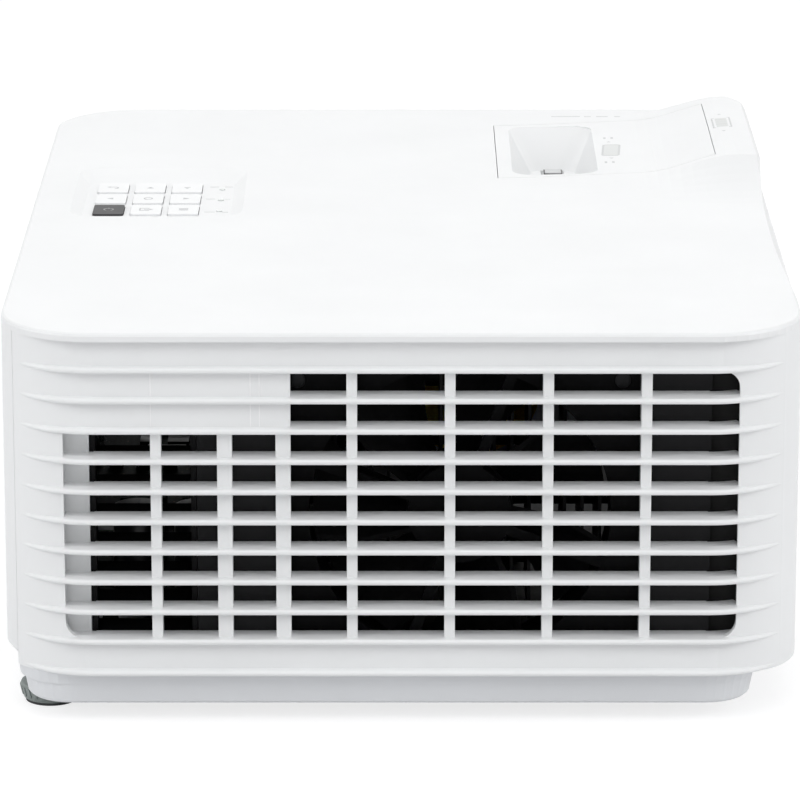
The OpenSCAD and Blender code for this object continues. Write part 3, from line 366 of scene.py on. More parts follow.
def bevel_edges(piece, wanted, offset, segments):
    """Bevels the edges for which wanted holds."""
    to_edit(piece, "EDGE")
    mesh = bmesh.from_edit_mesh(piece.data)
    for edge in mesh.edges:
        edge.select = wanted(edge)
    bmesh.update_edit_mesh(piece.data)
    bpy.ops.mesh.bevel(offset=offset, segments=segments, affect="EDGES")
    to_object()


def sink(piece, wanted, wall, move):
    """Insets the faces for whose normal wanted holds by wall, and pushes them in by move."""
    to_edit(piece, "FACE")
    pick_faces(piece, wanted)
    bpy.ops.mesh.inset(thickness=wall)
    bpy.ops.mesh.extrude_region_move(TRANSFORM_OT_translate={"value": move})
    to_object()


def settle(pieces, name, material, body="housing"):
    """Joins finished pieces, puts their place in the mesh, names the result and hands it to its body."""
    bpy.ops.object.select_all(action="DESELECT")
    for piece in pieces:
        piece.select_set(True)
    piece = pieces[0]
    bpy.context.view_layer.objects.active = piece
    if len(pieces) > 1:
        bpy.ops.object.join()
    apply_place()
    bpy.ops.object.shade_smooth_by_angle(angle=SMOOTH_ANGLE)
    piece.name = name
    piece.data.materials.clear()
    piece.data.materials.append(material)
    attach(piece, body)


def bar(centre, size, edge=0.1):
    """A bar with bevelled edges; edge is the bevel as a share of its thinnest side."""
    piece = primitive("cube", size=1.0, location=centre, scale=size)
    apply_place()
    to_edit(piece, action="SELECT")
    bpy.ops.mesh.bevel(offset=min(size) * edge, segments=2)
    to_object()
    return piece


def bow(centre, radius, width, height, start, turn, steps=24):
    """A flat arc on the XY plane, spun from one small face."""
    first = (centre[0] + radius, centre[1], centre[2])
    piece = primitive("plane", size=1.0, location=first)
    to_edit(piece, action="SELECT")
    bpy.ops.transform.rotate(value=math.pi / 2, orient_axis="X", center_override=first)
    bpy.ops.transform.resize(value=(width, 1.0, height), center_override=first)
    bpy.ops.transform.rotate(value=start, orient_axis="Z", center_override=centre)
    bpy.ops.mesh.spin(steps=steps, angle=turn, center=centre, axis=(0, 0, 1))
    bpy.ops.mesh.select_all(action="SELECT")
    bpy.ops.mesh.remove_doubles(threshold=0.000001)
    bpy.ops.mesh.normals_make_consistent(inside=False)
    to_object()
    return piece


def rounded_tile(length, width, radius, high=PRINT_HEIGHT):
    """A flat plate at the origin with rounded corners."""
    piece = primitive("cube", size=1.0, location=ORIGIN, scale=(length, width, high))
    apply_place()
    bevel_edges(piece, lambda edge: abs(edge.verts[0].co.z - edge.verts[1].co.z) > high / 2, radius, 6)
    return piece


def rounded_frame(length, width, radius, line):
    """A flat frame at the origin with rounded corners and an open middle."""
    piece = rounded_tile(length, width, radius, OUTLINE_HEIGHT)
    to_edit(piece, "FACE")
    pick_faces(piece, lambda normal: abs(normal.z) > 0.9)
    bpy.ops.mesh.inset(thickness=line, use_individual=True)
    bpy.ops.mesh.bridge_edge_loops()
    bpy.ops.mesh.select_all(action="SELECT")
    bpy.ops.mesh.normals_make_consistent(inside=False)
    to_object()
    return piece


def wedge(centre, size, height, turn):
    """A flat triangle that points along turn."""
    piece = primitive("cylinder", vertices=3, radius=size, depth=height, location=centre,
                      rotation=(0, 0, turn - math.pi / 2))
    apply_place()
    to_edit(piece, action="SELECT")
    bpy.ops.mesh.bevel(offset=height * 0.2, segments=1)
    to_object()
    return piece


def disc(centre, radius, depth, axis, edge, sides):
    """A round plate or short post along an axis; edge is its rims' bevel as a share of its smaller size."""
    piece = primitive("cylinder", vertices=sides, radius=radius, depth=depth, location=centre,
                      rotation=AXIS_TURNS[axis])
    apply_place()
    bevel_edges(piece, lambda rim: any(len(face.verts) > 4 for face in rim.link_faces),
                min(radius, depth) * edge, 2)
    return piece


def hoop(centre, radius, thick, axis="X", sides=48):
    """A round bead, like an O-ring, around an axis."""
    piece = primitive("torus", major_radius=radius, minor_radius=thick, major_segments=sides, minor_segments=8,
                      location=centre, rotation=AXIS_TURNS[axis])
    apply_place()
    return piece


def skin_at(x, y):
    """The highest point of the covers over (x, y), and the way it faces."""
    best = None
    for name in ("lens_access_cover", "top_cover"):
        hit, place, normal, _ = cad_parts[name].ray_cast(Vector((x, y, 1.0)), Vector((0.0, 0.0, -1.0)))
        if hit and (best is None or place.z > best[0].z):
            best = (place.copy(), normal.copy())
    if best is None:
        raise RuntimeError("no cover under (%.4f, %.4f)" % (x, y))
    return best


def lay(piece, x, y, turn=0.0, lift=PRINT_LIFT):
    """Lays a flat piece that was made at the origin onto the covers at (x, y), turned by turn."""
    place, up = skin_at(x, y)
    along = Vector((math.cos(turn), math.sin(turn), 0.0))
    along = (along - up * along.dot(up)).normalized()
    across = up.cross(along)
    turned = Matrix((along, across, up)).transposed().to_4x4()
    piece.matrix_world = Matrix.Translation(place + up * lift) @ turned
    return piece


def dash(x, y, length, width, turn=0.0, lift=PRINT_LIFT):
    """A printed stroke on the covers."""
    return lay(bar(ORIGIN, (length, width, PRINT_HEIGHT)), x, y, turn, lift)


def arrow(x, y, size, turn, lift=PRINT_LIFT):
    """A printed arrow head on the covers."""
    return lay(wedge(ORIGIN, size, PRINT_HEIGHT, turn), x, y, 0.0, lift)


def twin(piece):
    """A copy of a piece, with its own mesh."""
    made = piece.copy()
    made.data = piece.data.copy()
    bpy.context.scene.collection.objects.link(made)
    return made


def copies(piece, places):
    """A piece, and a copy of it moved by each of places."""
    made = [piece]
    for place in places:
        other = twin(piece)
        other.location = piece.location + Vector(place)
        made.append(other)
    return made


def row(piece, count, step):
    """A piece and its copies, count in all, each a step further."""
    return copies(piece, [tuple(s * k for s in step) for k in range(1, count)])


def around(piece, centre, axis, count):
    """A piece and its copies, count in all, spread evenly about an axis through centre."""
    made = [piece]
    start = piece.matrix_world.copy()
    for k in range(1, count):
        other = twin(piece)
        turn = Matrix.Rotation(math.tau * k / count, 4, Vector(axis))
        other.matrix_world = Matrix.Translation(centre) @ turn @ Matrix.Translation(-Vector(centre)) @ start
        made.append(other)
    bpy.context.view_layer.update()
    return made


# ---------------------------------------------------------------- operators

class PROJECTOR_OT_shells(bpy.types.Operator):
    """Finish the white covers, the bottom case, the keys and the feet."""
    bl_idname = "projector.shells"
    bl_label = "Shells"

    def execute(self, context):
        colours = context.scene.projector_colours
        shell = tuple(colours.shell)
        dress(moulded_plastic("white_shell", shell, 0.42), *SHELLS)
        dress(moulded_plastic("bottom_plastic", tuple(colours.base), 0.5), "bottom_case")
        dress(moulded_plastic("key_plastic", shell, 0.36, 2400.0), *["key_" + key for key in KEYS[1:]])
        dark = moulded_plastic("power_key_plastic", tuple(colours.power_key), 0.55, 2400.0, gloss=0.2)
        dress(dark, "key_power")
        dress(moulded_plastic("foot_plastic", tuple(colours.foot), 0.55, 900.0),
              *["foot_" + foot for foot in FEET])
        dress(rubber("foot_rubber", (0.035, 0.037, 0.038)), *["pad_" + foot for foot in FEET])
        return {"FINISHED"}


# finish, colour, roughness, grain, gloss and nodes
INNER_PLASTICS = (
    # the fan and baffle blacks are darker than real plastic: painted shade of the unlit inside of the case
    ("fan_plastic_painted_shade", (0.0018, 0.0018, 0.0022), 0.6, 1100.0, 0.08,
     ("exhaust_fan_frame", "exhaust_fan_rotor", "intake_fan_frame", "intake_fan_rotor")),
    ("baffle_plastic_painted_shade", (0.003, 0.003, 0.0035), 0.5, 1100.0, 0.1, ("light_baffle",)),
    ("dark_sheet_coat", (0.011, 0.011, 0.012), 0.6, 700.0, 0.15, ("fan_bracket",)),
    ("plate_plastic", (0.02, 0.02, 0.021), 0.5, PLASTIC_GRAIN, PLASTIC_GLOSS, ("connector_plate",)),
    ("speaker_plastic", (0.02, 0.02, 0.021), 0.6, 800.0, PLASTIC_GLOSS, ("speaker",)),
    ("inlet_plastic", (0.016, 0.016, 0.017), 0.4, PLASTIC_GRAIN, PLASTIC_GLOSS, ("power_inlet",)),
    ("jack_plastic", (0.03, 0.16, 0.06), 0.4, PLASTIC_GRAIN, PLASTIC_GLOSS, ("audio_jacks",)),
    ("fin_anodised", (0.008, 0.008, 0.009), 0.5, 900.0, 0.25, ("laser_heat_sink",)),
)


class PROJECTOR_OT_interior(bpy.types.Operator):
    """Finish the light engine, cooling parts, boards and sockets."""
    bl_idname = "projector.interior"
    bl_label = "Interior"

    def execute(self, context):
        for name, colour, rough, grain, gloss, nodes in INNER_PLASTICS:
            dress(moulded_plastic(name, colour, rough, grain, gloss=gloss), *nodes)
        dress(circuit_board("board_resist_painted_shade"), "main_board", "power_board", "keypad_board", "dmd_board")
        cast = {"grain": 900.0, "depth": 0.00008}
        dress(metal("fin_metal", (0.62, 0.63, 0.65), 0.34, (1.0, 1.0, 12.0)), "dmd_heat_sink")
        dress(metal("die_cast", (0.30, 0.31, 0.33), 0.5, **cast), "lens_mount")
        dress(metal("engine_coat", (0.05, 0.05, 0.055), 0.6, **cast), "engine_housing")
        dress(metal("copper", (0.30, 0.15, 0.09), 0.4, (1.0, 8.0, 1.0)), "laser_module")
        dress(metal("motor_can", (0.36, 0.36, 0.38), 0.3, (1.0, 10.0, 1.0)),
              "phosphor_wheel_motor", "colour_wheel_motor")
        dress(metal("socket_plate", (0.6, 0.6, 0.62), 0.25, (10.0, 1.0, 1.0)),
              "hdmi_sockets", "usb_socket", "lan_socket", "serial_port")
        dress(metal("screw_steel", (0.05, 0.05, 0.055), 0.35), "cover_screws")
        dress(metal("insert_brass", (0.65, 0.47, 0.2), 0.3), "ceiling_inserts")
        dress(phosphor("phosphor_coat"), "phosphor_wheel")
        dress(clear_glass("dichroic_glass", (0.35, 0.5, 0.9), 0.02, 0.1), "colour_wheel")
        return {"FINISHED"}


class PROJECTOR_OT_lens(bpy.types.Operator):
    """Finish the lens, its rings, its glass, the sensor window and the light pipes."""
    bl_idname = "projector.lens"
    bl_label = "Lens"

    def execute(self, context):
        black = tuple(context.scene.projector_colours.lens)
        dress(moulded_plastic("lens_black", black, 0.38, 2000.0),
              "lens_barrel", "front_lens_cell", "zoom_lens_group")
        dress(moulded_plastic("ring_black", black, 0.5, 1200.0, 0.00008), "zoom_ring", "focus_ring")
        dress(moulded_plastic("bezel_black", (0.02, 0.02, 0.022), 0.3, 2000.0), "lens_bezel")
        dress(clear_glass("front_glass", (0.80, 0.86, 0.92), 0.0, 0.04), "front_lens")
        dress(moulded_plastic("sensor_window", (0.02, 0.004, 0.008), 0.08, 200.0, 0.00001), "ir_window")
        dress(moulded_plastic("light_guide", (0.62, 0.66, 0.64), 0.2, FINE_GRAIN), "status_lights")
        return {"FINISHED"}


class PROJECTOR_OT_key_signs(bpy.types.Operator):
    """Print a generic sign on each key."""
    bl_idname = "projector.key_signs"
    bl_label = "Key signs"

    def execute(self, context):
        sizes = context.scene.projector_sizes
        ink = moulded_plastic("sign_ink", tuple(context.scene.projector_colours.print_grey), 0.5, FINE_GRAIN)
        pale = moulded_plastic("power_sign_ink", (0.24, 0.24, 0.24), 0.5, FINE_GRAIN)
        # every measure of a sign is a share of its size
        s = sizes.sign_size
        line = s * 0.11
        high = sizes.print_height
        for key in KEYS:
            low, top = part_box("key_" + key)
            x, y, z = (low.x + top.x) / 2, (low.y + top.y) / 2, top.z + high * 0.4
            at = (x, y, z)
            if key == "power":
                parts = [bow(at, s * 0.34, line, high, math.radians(120), math.radians(300)),
                         bar((x, y + s * 0.3, z), (line, s * 0.34, high))]
            elif key == "source":
                parts = [bar((x - s * 0.1, y + s * 0.36, z), (s * 0.7, line, high)),
                         bar((x - s * 0.1, y - s * 0.36, z), (s * 0.7, line, high)),
                         bar((x - s * 0.45, y, z), (line, s * 0.72, high)),
                         bar((x + s * 0.1, y, z), (s * 0.5, line, high)),
                         wedge((x + s * 0.36, y, z), s * 0.17, high, 0.0)]
            elif key == "menu":
                parts = [bar((x, y + s * 0.25 * k, z), (s * 0.7, line, high)) for k in (-1, 0, 1)]
            elif key == "enter":
                parts = [bow(at, s * 0.3, line, high, 0.0, math.tau)]
            elif key == "back":
                parts = [bow((x + s * 0.08, y, z), s * 0.26, line, high, -math.pi / 2, math.pi),
                         bar((x - s * 0.12, y + s * 0.26, z), (s * 0.4, line, high)),
                         wedge((x - s * 0.34, y + s * 0.26, z), s * 0.17, high, math.pi)]
            else:
                turn = {"left": math.pi, "right": 0.0, "up": math.pi / 2, "down": -math.pi / 2}[key]
                parts = [wedge(at, s * 0.3, high, turn)]
            settle(parts, "sign_" + key, pale if key == "power" else ink, "key_" + key)
        return {"FINISHED"}


class PROJECTOR_OT_mouldings(bpy.types.Operator):
    """Raise the mould lines on the closed rows of the grille and the knurls of the feet."""
    bl_idname = "projector.mouldings"
    bl_label = "Mouldings"

    def execute(self, context):
        lines = [bar((x, CLOSED_ROW_Y, z), (0.0003, 0.0003, 0.0090), 0.2)
                 for x in (-0.0944, -0.0568, -0.0534) for z in (0.1353, 0.1235)]
        settle(lines, "mould_lines", bpy.data.materials["white_shell"])
        # the knurls lean with the foot's flared side
        rim, middle, flare, count = 0.01155, 0.00445, math.radians(13.7), 24
        for foot in ["foot_" + place for place in FEET]:
            low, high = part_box(foot)
            x, y = (low.x + high.x) / 2, (low.y + high.y) / 2
            rib = bar(ORIGIN, (0.0006, 0.0017, 0.0038), 0.25)
            rib.matrix_world = Matrix.Translation((x + rim, y, middle)) @ Matrix.Rotation(flare, 4, "Y")
            ribs = around(rib, Vector((x, y, 0.0)), (0, 0, 1), count)
            settle(ribs, foot + "_knurl", bpy.data.materials["foot_plastic"], foot)
        return {"FINISHED"}


# printed strokes on the covers: x, y, length, width and turn
LIGHT_MARKS = (
    (-0.0788, 0.0531, 0.0038, 0.0007), (-0.0727, 0.0531, 0.0034, 0.0007),
    (-0.0797, 0.0306, 0.0038, 0.0007), (-0.0735, 0.0299, 0.0042, 0.0005),
    (-0.0793, 0.0066, 0.0044, 0.0007), (-0.0729, 0.0061, 0.0026, 0.0009),
)
SCOOP_LINE = (
    (0.0737, 0.1845, 0.0128, 0.0008, -0.09), (0.0834, 0.1833, 0.0030, 0.0007, -0.09),
    (0.0899, 0.1827, 0.0052, 0.0009, -0.09), (0.0966, 0.1820, 0.0026, 0.0009, -0.09),
)


class PROJECTOR_OT_cover_marks(bpy.types.Operator):
    """Print the light marks, the lever and ring symbols and the fine line on the covers."""
    bl_idname = "projector.cover_marks"
    bl_label = "Cover marks"

    def execute(self, context):
        ink = moulded_plastic("cover_ink", (0.60, 0.61, 0.615), 0.5, FINE_GRAIN)
        pale = moulded_plastic("cover_pale_ink", (0.70, 0.715, 0.71), 0.5, FINE_GRAIN)
        # pairs of strokes beside the three status lights, and a broken line behind the scoop
        settle([dash(*mark) for mark in LIGHT_MARKS], "status_light_marks", ink)
        settle([dash(*mark) for mark in SCOOP_LINE], "scoop_line", ink)
        # zoom symbol: a filled slab in a frame, with two dots and an arrow at each end
        x, y, slant = 0.0911, 0.1127, math.radians(-93.5)
        field = lay(rounded_tile(0.0215, 0.0072, 0.0016), x, y, slant)
        settle([field], "zoom_symbol_field", pale)
        marks = [lay(rounded_frame(0.0222, 0.0079, 0.0018, 0.0009), x, y, slant)]
        for end, side in ((0.1373, 1), (0.0890, -1)):
            marks += [dash(dot + 0.0006 * side, end, 0.0011, 0.0030) for dot in (0.0886, 0.0918)]
            marks.append(arrow(0.0907, end - 0.0080 * side, 0.0011, math.pi / 2 * side))
        settle(marks, "zoom_symbol", ink)
        # focus symbol: two brackets round a pane, with an arrow at each end; it lies on the nose's slope, so
        # its long strokes are made of four short ones, which follow the cover
        x, y = 0.1400, 0.1310
        pane = [dash(x, 0.1244 + 0.0044 * k, 0.0050, 0.0045, lift=FLUSH_LIFT) for k in range(4)]
        settle(pane, "focus_symbol_pane", pale)
        marks = []
        for side in (-1, 1):
            marks += [dash(x + 0.0038 * side, 0.1235 + 0.005 * k, 0.0007, 0.0051, lift=FLUSH_LIFT)
                      for k in range(4)]
            marks += [dash(x + 0.0034 * side, y + 0.0098 * end, 0.0013, 0.0010, lift=FLUSH_LIFT)
                      for end in (-1, 1)]
            marks.append(arrow(x, y + 0.0172 * side, 0.0012, math.pi / 2 * side, FLUSH_LIFT))
        settle(marks, "focus_symbol", ink)
        return {"FINISHED"}


class PROJECTOR_OT_sockets(bpy.types.Operator):
    """Fit tongues, contacts, pins, jack screws and rims in the rear sockets."""
    bl_idname = "projector.sockets"
    bl_label = "Sockets"

    def execute(self, context):
        black = moulded_plastic("tongue_black", (0.012, 0.012, 0.013), 0.4)
        gold = metal("contact_gold", (0.83, 0.62, 0.28), 0.25, grain=900.0)
        nickel = metal("bright_nickel", (0.68, 0.68, 0.70), 0.22, grain=900.0)
        for number, y in enumerate(PICTURE_YS, 1):
            tongue = bar((-0.1418, y, PICTURE_Z), (0.0094, 0.0108, 0.0011), 0.3)
            settle([tongue], "hdmi_tongue_%d" % number, black)
            strip = bar((-0.1424, y - 0.0045, PICTURE_Z), (0.0078, 0.00045, 0.0013), 0.2)
            settle(row(strip, 10, (0.0, 0.001, 0.0)), "hdmi_contacts_%d" % number, gold)
        tongue = bar((-0.1410, DATA_Y, DATA_Z + 0.0011), (0.0110, 0.0110, 0.0019), 0.15)
        settle([tongue], "usb_tongue", black)
        strip = bar((-0.1412, DATA_Y - 0.0035, DATA_Z + 0.0001), (0.0092, 0.0011, 0.0004), 0.2)
        strips = copies(strip, [(0.0, along, 0.0) for along in (0.0025, 0.0045, 0.0070)])
        settle(strips, "usb_contacts", gold)
        # network socket: eight sprung wires and two light windows
        y, z = NETWORK_Y - 0.0036, BOARD_TOP + 0.0098
        wire = bar((-0.1395, y, z), (0.0105, 0.00045, 0.00045), 0.3)
        to_edit(wire, action="SELECT")
        bpy.ops.transform.rotate(value=math.radians(14), orient_axis="Y", center_override=(-0.1340, y, z))
        to_object()
        settle(row(wire, 8, (0.0, 0.00102, 0.0)), "network_contacts", gold)
        for name, side, colour in (("link", -1, (0.10, 0.42, 0.12)), ("busy", 1, (0.62, 0.38, 0.05))):
            pane = bar((-0.14715, NETWORK_Y + 0.0068 * side, BOARD_TOP + 0.0018), (0.0006, 0.0024, 0.0018), 0.3)
            glow = moulded_plastic("network_%s_lens" % name, colour, 0.2)
            settle([pane], "network_%s_light" % name, glow)
        # serial socket: insert, a row of five pins over one of four, and two jack screws
        insert = bar((-0.1446, SERIAL_Y, SERIAL_Z), (0.0010, 0.0158, 0.0066), 0.3)
        settle([insert], "serial_insert", black)
        pitch, drop = 0.00276, 0.00284
        pin = disc((-0.1468, SERIAL_Y - 2 * pitch, SERIAL_Z + drop / 2), 0.0005, 0.0048, "X", 0.6, 12)
        others = [(0.0, pitch * k, 0.0) for k in range(1, 5)]
        others += [(0.0, pitch * (k + 0.5), -drop) for k in range(4)]
        settle(copies(pin, others), "serial_pins", gold)
        posts = []
        for side in (-1, 1):
            post = disc((-0.1474, SERIAL_Y + 0.0125 * side, SERIAL_Z), 0.0029, 0.0052, "X", 0.12, 6)
            sink(post, lambda normal: normal.x < -0.99, 0.0013, (0.0036, 0.0, 0.0))
            posts.append(post)
        settle(posts, "serial_jack_screws", nickel)
        for name, y, colour in (("in", AUDIO_IN_Y, (0.12, 0.28, 0.62)),
                                ("out", AUDIO_OUT_Y, (0.10, 0.48, 0.14))):
            rim = hoop((-0.14805, y, AUDIO_Z), 0.0029, 0.0006)
            settle([rim], "audio_%s_rim" % name, moulded_plastic("audio_%s_colour" % name, colour, 0.35))
            sleeve = hoop((-0.1478, y, AUDIO_Z), 0.00205, 0.00028)
            settle([sleeve], "audio_%s_sleeve" % name, nickel)
        # mains inlet: bright sleeves over the three blades
        blades = [bar((-0.1364, INLET_Y + across, BOARD_TOP + up), (0.0076, 0.0022, 0.0042), 0.3)
                  for across, up in ((-0.007, 0.009), (0.007, 0.009), (0.0, 0.013))]
        settle(blades, "inlet_blades", nickel)
        return {"FINISHED"}


class PROJECTOR_OT_lens_marks(bpy.types.Operator):
    """Fit the lever's tip and the band under it, the focus scale with its index, and the glass retainer."""
    bl_idname = "projector.lens_marks"
    bl_label = "Lens marks"

    def execute(self, context):
        ink = moulded_plastic("scale_ink", (0.62, 0.62, 0.62), 0.5, FINE_GRAIN)
        # lever tip: a crowned cap with five grip ridges
        cap = bar((LEVER_X, LENS_Y, 0.1452), (0.0084, 0.0084, 0.0038), 0.25)
        ridge = bar((LEVER_X, LENS_Y - 0.0028, 0.14715), (0.0070, 0.0007, 0.0006), 0.3)
        lever_white = moulded_plastic("lever_white", (0.74, 0.75, 0.755), 0.4)
        settle([cap] + row(ridge, 5, (0.0, 0.0014, 0.0)), "lever_tip", lever_white, "zoom_ring")
        # pale band on the ring that shows through the lever's slot
        shade = bow(ORIGIN, 0.03885, 0.0005, 0.0130, math.radians(-34), math.radians(68), 36)
        upright = Matrix.Rotation(-math.pi / 2, 4, "Y")
        shade.matrix_world = Matrix.Translation((LEVER_X, LENS_Y, LENS_Z)) @ upright @ shade.matrix_world
        settle([shade], "lever_shade", lever_white, "zoom_ring")
        # focus scale: short strokes on the front face of the ring
        stroke = bar((0.1420 + 0.00002, LENS_Y, LENS_Z + 0.0359), (0.00008, 0.0004, 0.0022), 0.2)
        strokes = around(stroke, Vector((0.0, LENS_Y, LENS_Z)), (1, 0, 0), 60)
        settle(strokes, "focus_scale", ink, "focus_ring")
        # index on the barrel between the rings
        index = wedge(ORIGIN, 0.0016, 0.0001, 0.0)
        index.location = (0.0905, LENS_Y, LENS_Z + 0.0370)
        settle([index], "focus_index", ink)
        # retaining ring of the front glass
        retainer = hoop((0.1435, LENS_Y, LENS_Z), 0.0272, 0.0009, sides=96)
        settle([retainer], "glass_retainer", moulded_plastic("retainer_black", (0.014, 0.014, 0.015), 0.3),
               "front_lens_cell")
        return {"FINISHED"}


class PROJECTOR_OT_boards(bpy.types.Operator):
    """Populate the main board and the power board."""
    bl_idname = "projector.boards"
    bl_label = "Boards"

    def execute(self, context):
        package = moulded_plastic("chip_package", (0.010, 0.010, 0.011), 0.35, gloss=0.3)
        # the tin of the legs and capacitor tops is far darker than bare tin: painted shade of the unlit inside of
        # the case
        solder = metal("solder_tin", (0.07, 0.07, 0.072), 0.45)
        # the header nylon is dark grey, not white: painted shade of the unlit inside of the case
        nylon = moulded_plastic("header_nylon_painted_shade", (0.06, 0.06, 0.055), 0.5)
        near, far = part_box("main_board")
        left, back = near.x, far.y
        # processor, regulator and four memory chips: middle, width, depth and height
        chips = [(left + 0.046, back - 0.044, 0.0325, 0.0325, 0.0032),
                 (left + 0.042, back - 0.092, 0.0165, 0.0165, 0.0027)]
        chips += [(left + 0.0345 + 0.012 * k, back - 0.073, 0.0093, 0.0103, 0.0022) for k in range(4)]
        leg_pitch = 0.0012
        lids, legs = [], []
        for x, y, wide, deep, high in chips:
            lids.append(bar((x, y, BOARD_TOP + high / 2 - 0.0003), (wide, deep, high), 0.08))
            count = int((wide - 0.001) / leg_pitch)
            for side in (-1, 1):
                leg = bar((x - wide / 2 + 0.001, y + side * deep / 2 + side * 0.0006, BOARD_TOP + 0.0003),
                          (0.0004, 0.0016, 0.0004), 0.2)
                legs += row(leg, count, (leg_pitch, 0.0, 0.0))
        settle(lids, "board_chips", package)
        settle(legs, "board_chip_legs", solder)
        cans = [disc((left + 0.010 + 0.0115 * k, back - 0.112, BOARD_TOP + 0.0042),
                     0.0032, 0.0084, "Z", 0.18, 24)
                for k in range(6)]
        # the capacitor cans' aluminium is far darker than bare metal: painted shade of the unlit inside of the
        # case
        settle(cans, "board_capacitors", metal("can_aluminium_painted_shade", (0.08, 0.08, 0.085), 0.45))
        headers = []
        for inward in (0.130, 0.150, 0.170):
            header = bar((left + 0.070, back - inward, BOARD_TOP + 0.0030), (0.0060, 0.0120, 0.0060), 0.08)
            sink(header, lambda normal: normal.z > 0.99, 0.0010, (0.0, 0.0, -0.0045))
            headers.append(header)
        settle(headers, "board_headers", nylon)
        # power board: sleeves and scored tops on the reservoir capacitors, tape round the transformer
        corner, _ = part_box("power_board")
        sleeves, tops = [], []
        for k in range(2):
            x, y = corner.x + 0.040 + 0.024 * k, corner.y + 0.022
            sleeves.append(disc((x, y, 0.0505), 0.01015, 0.0338, "Z", 0.06, 40))
            tops.append(disc((x, y, 0.0674), 0.0088, 0.0006, "Z", 0.3, 40))
            tops += [bar((x, y, 0.0678), score, 0.2)
                     for score in ((0.0150, 0.0008, 0.0003), (0.0008, 0.0150, 0.0003))]
        settle(sleeves, "capacitor_sleeves", moulded_plastic("sleeve_black", (0.012, 0.013, 0.016), 0.3))
        settle(tops, "capacitor_tops", solder)
        # the tape's yellow is darkened to a tenth: painted shade of the unlit inside of the case
        tape = bar((corner.x + 0.072, corner.y + 0.067, 0.0480), (0.0324, 0.0344, 0.0180), 0.06)
        settle([tape], "transformer_tape", moulded_plastic("tape_yellow_painted_shade", (0.07, 0.045, 0.006), 0.45, 300.0))
        return {"FINISHED"}


class PROJECTOR_OT_linings(bpy.types.Operator):
    """Lay the black insulating sheet on the tub's floor and the foam seal beside the exhaust duct."""
    bl_idname = "projector.linings"
    bl_label = "Linings"

    def execute(self, context):
        film = moulded_plastic("insulating_film", (0.004, 0.004, 0.0045), 0.5, 600.0, gloss=0.1)
        sheet = bar((-0.006, 0.0, 0.0106), (0.228, 0.360, 0.0004), 0.3)
        settle([sheet], "insulating_sheet", film)
        seal = bar((0.1243, -0.1868, 0.0810), (0.0134, 0.0024, 0.1200), 0.3)
        settle([seal], "duct_seal", rubber("seal_foam", (0.004, 0.004, 0.004)))
        return {"FINISHED"}


class PROJECTOR_OT_fan_details(bpy.types.Operator):
    """Fit the hub plates and corner screws of both fans, and the surround and dust cap of the speaker."""
    bl_idname = "projector.fan_details"
    bl_label = "Fan details"

    def execute(self, context):
        steel = metal("fan_screw_steel", (0.02, 0.02, 0.021), 0.5)
        # the hub plates are near-black like the fans: painted shade of the unlit inside of the case
        hub = moulded_plastic("hub_plate_painted_shade", (0.003, 0.003, 0.0032), 0.5, gloss=0.1)
        inset = 0.0075
        for name, side in (("exhaust_fan", -1), ("intake_fan", 1)):
            low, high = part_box(name + "_frame")
            turn_low, turn_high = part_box(name + "_rotor")
            x, z = (turn_low.x + turn_high.x) / 2, (turn_low.z + turn_high.z) / 2
            face, outside = (turn_low.y, low.y) if side < 0 else (turn_high.y, high.y)
            plate = disc((x, face + 0.0001 * side, z), 0.0165, 0.0005, "Y", 0.3, 48)
            settle([plate], name + "_hub_plate_painted_shade", hub, name + "_rotor")
            head = disc((low.x + inset, outside + 0.0004 * side, low.z + inset), 0.0030, 0.0010, "Y", 0.3, 24)
            wide, tall = high.x - low.x - 2 * inset, high.z - low.z - 2 * inset
            heads = copies(head, [(wide, 0.0, 0.0), (0.0, 0.0, tall), (wide, 0.0, tall)])
            settle(heads, name + "_screws", steel)
        low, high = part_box("speaker")
        x, z = (low.x + high.x) / 2, (low.z + high.z) / 2 + 0.003
        soft = rubber("surround_rubber", (0.012, 0.012, 0.012))
        rings = [hoop((x, high.y - behind, z), radius, thick, "Y", 64)
                 for behind, radius, thick in ((0.0012, 0.0192, 0.0010), (0.0016, 0.0172, 0.0007))]
        settle(rings, "speaker_surround", soft)
        cap = primitive("uv_sphere", segments=32, ring_count=16, radius=0.0056,
                        location=(x, high.y - 0.0032, z), scale=(1.0, 0.45, 1.0))
        settle([cap], "speaker_dust_cap", soft)
        return {"FINISHED"}


# name, place, width, depth and power of each lamp
SOFTBOXES = (
    ("softbox_top", (0.0, 0.2, 2.1), 2.2, 2.2, 12.0),
    ("softbox_front", (0.1, -2.2, 2.5), 2.6, 1.6, 27.0),
    ("softbox_back", (0.0, 2.4, 1.2), 2.0, 1.2, 8.0),
    ("softbox_left", (-2.2, -1.0, 1.1), 1.5, 1.5, 22.0),
    ("softbox_right", (2.2, -1.0, 1.1), 1.5, 1.5, 22.0),
)
LIT_POINT = (0.0, 0.0, 0.08)
CAMERA_X = -0.00043


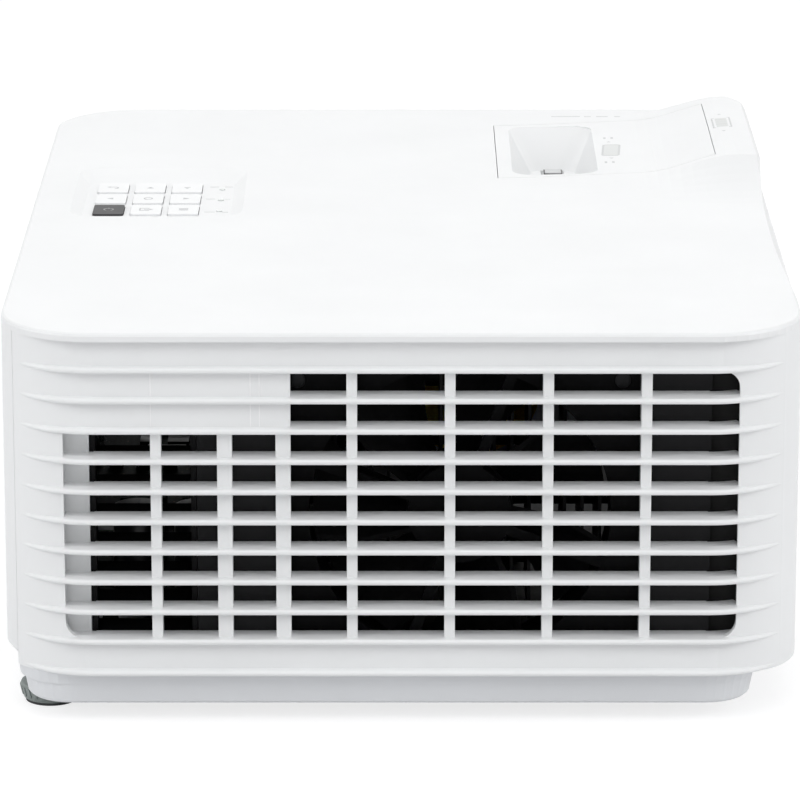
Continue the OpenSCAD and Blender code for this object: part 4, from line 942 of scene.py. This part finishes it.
class PROJECTOR_OT_studio(bpy.types.Operator):
    """Set up the floor, the soft lights, the world and the camera."""
    bl_idname = "projector.studio"
    bl_label = "Studio"

    def execute(self, context):
        scene = context.scene
        sizes = scene.projector_sizes
        floor = primitive("plane", size=12.0, location=ORIGIN)
        floor.name = "floor"
        floor.data.materials.append(studio_paper())

        for name, place, width, depth, power in SOFTBOXES:
            bpy.ops.object.light_add(type="AREA", location=place)
            lamp = context.object
            lamp.name = name
            lamp.data.shape = "RECTANGLE"
            lamp.data.size = width
            lamp.data.size_y = depth
            lamp.data.energy = power
            lamp.rotation_euler = (Vector(LIT_POINT) - Vector(place)).to_track_quat("-Z", "Y").to_euler()

        world = scene.world or bpy.data.worlds.new("studio")
        scene.world = world
        world.use_nodes = True
        tree = world.node_tree
        tree.nodes.clear()
        ambient = add(tree, "ShaderNodeBackground", in_Color=WHITE, in_Strength=0.34)
        backdrop = add(tree, "ShaderNodeBackground", in_Color=WHITE, in_Strength=1.0)
        both = mix_shaders(tree, seen_directly(tree), ambient, backdrop)
        tree.links.new(both.outputs[0], add(tree, "ShaderNodeOutputWorld").inputs["Surface"])

        bpy.ops.object.camera_add(
            location=(CAMERA_X, -sizes.camera_distance, sizes.camera_height),
            rotation=(math.pi / 2 - sizes.camera_pitch, 0.0, 0.0))
        camera = context.object
        camera.name = "photo_camera"
        camera.data.sensor_width = 36.0
        camera.data.lens = sizes.camera_lens
        camera.data.clip_end = 50.0
        scene.camera = camera
        scene.view_settings.view_transform = "Standard"
        return {"FINISHED"}


STEPS = (
    PROJECTOR_OT_shells,
    PROJECTOR_OT_interior,
    PROJECTOR_OT_lens,
    PROJECTOR_OT_key_signs,
    PROJECTOR_OT_mouldings,
    PROJECTOR_OT_cover_marks,
    PROJECTOR_OT_lens_marks,
    PROJECTOR_OT_sockets,
    PROJECTOR_OT_boards,
    PROJECTOR_OT_linings,
    PROJECTOR_OT_fan_details,
    PROJECTOR_OT_studio,
)


class PROJECTOR_PT_sidebar(bpy.types.Panel):
    """Projector steps and settings."""
    bl_label = "Projector"
    bl_idname = "PROJECTOR_PT_sidebar"
    bl_space_type = "VIEW_3D"
    bl_region_type = "UI"
    bl_category = "Projector"

    def draw(self, context):
        for step in STEPS:
            self.layout.operator(step.bl_idname)
        for group in (context.scene.projector_sizes, context.scene.projector_colours):
            box = self.layout.box()
            for name in group.bl_rna.properties.keys():
                if name not in ("rna_type", "name"):
                    box.prop(group, name)


CLASSES = (ProjectorSizes, ProjectorColours, *STEPS, PROJECTOR_PT_sidebar)


def register():
    for item in CLASSES:
        bpy.utils.register_class(item)
    bpy.types.Scene.projector_sizes = bpy.props.PointerProperty(type=ProjectorSizes)
    bpy.types.Scene.projector_colours = bpy.props.PointerProperty(type=ProjectorColours)


def unregister():
    del bpy.types.Scene.projector_colours
    del bpy.types.Scene.projector_sizes
    for item in reversed(CLASSES):
        bpy.utils.unregister_class(item)


def main():
    register()
    for step in STEPS:
        area, name = step.bl_idname.split(".")
        getattr(getattr(bpy.ops, area), name)()


if __name__ == "__main__":
    main()
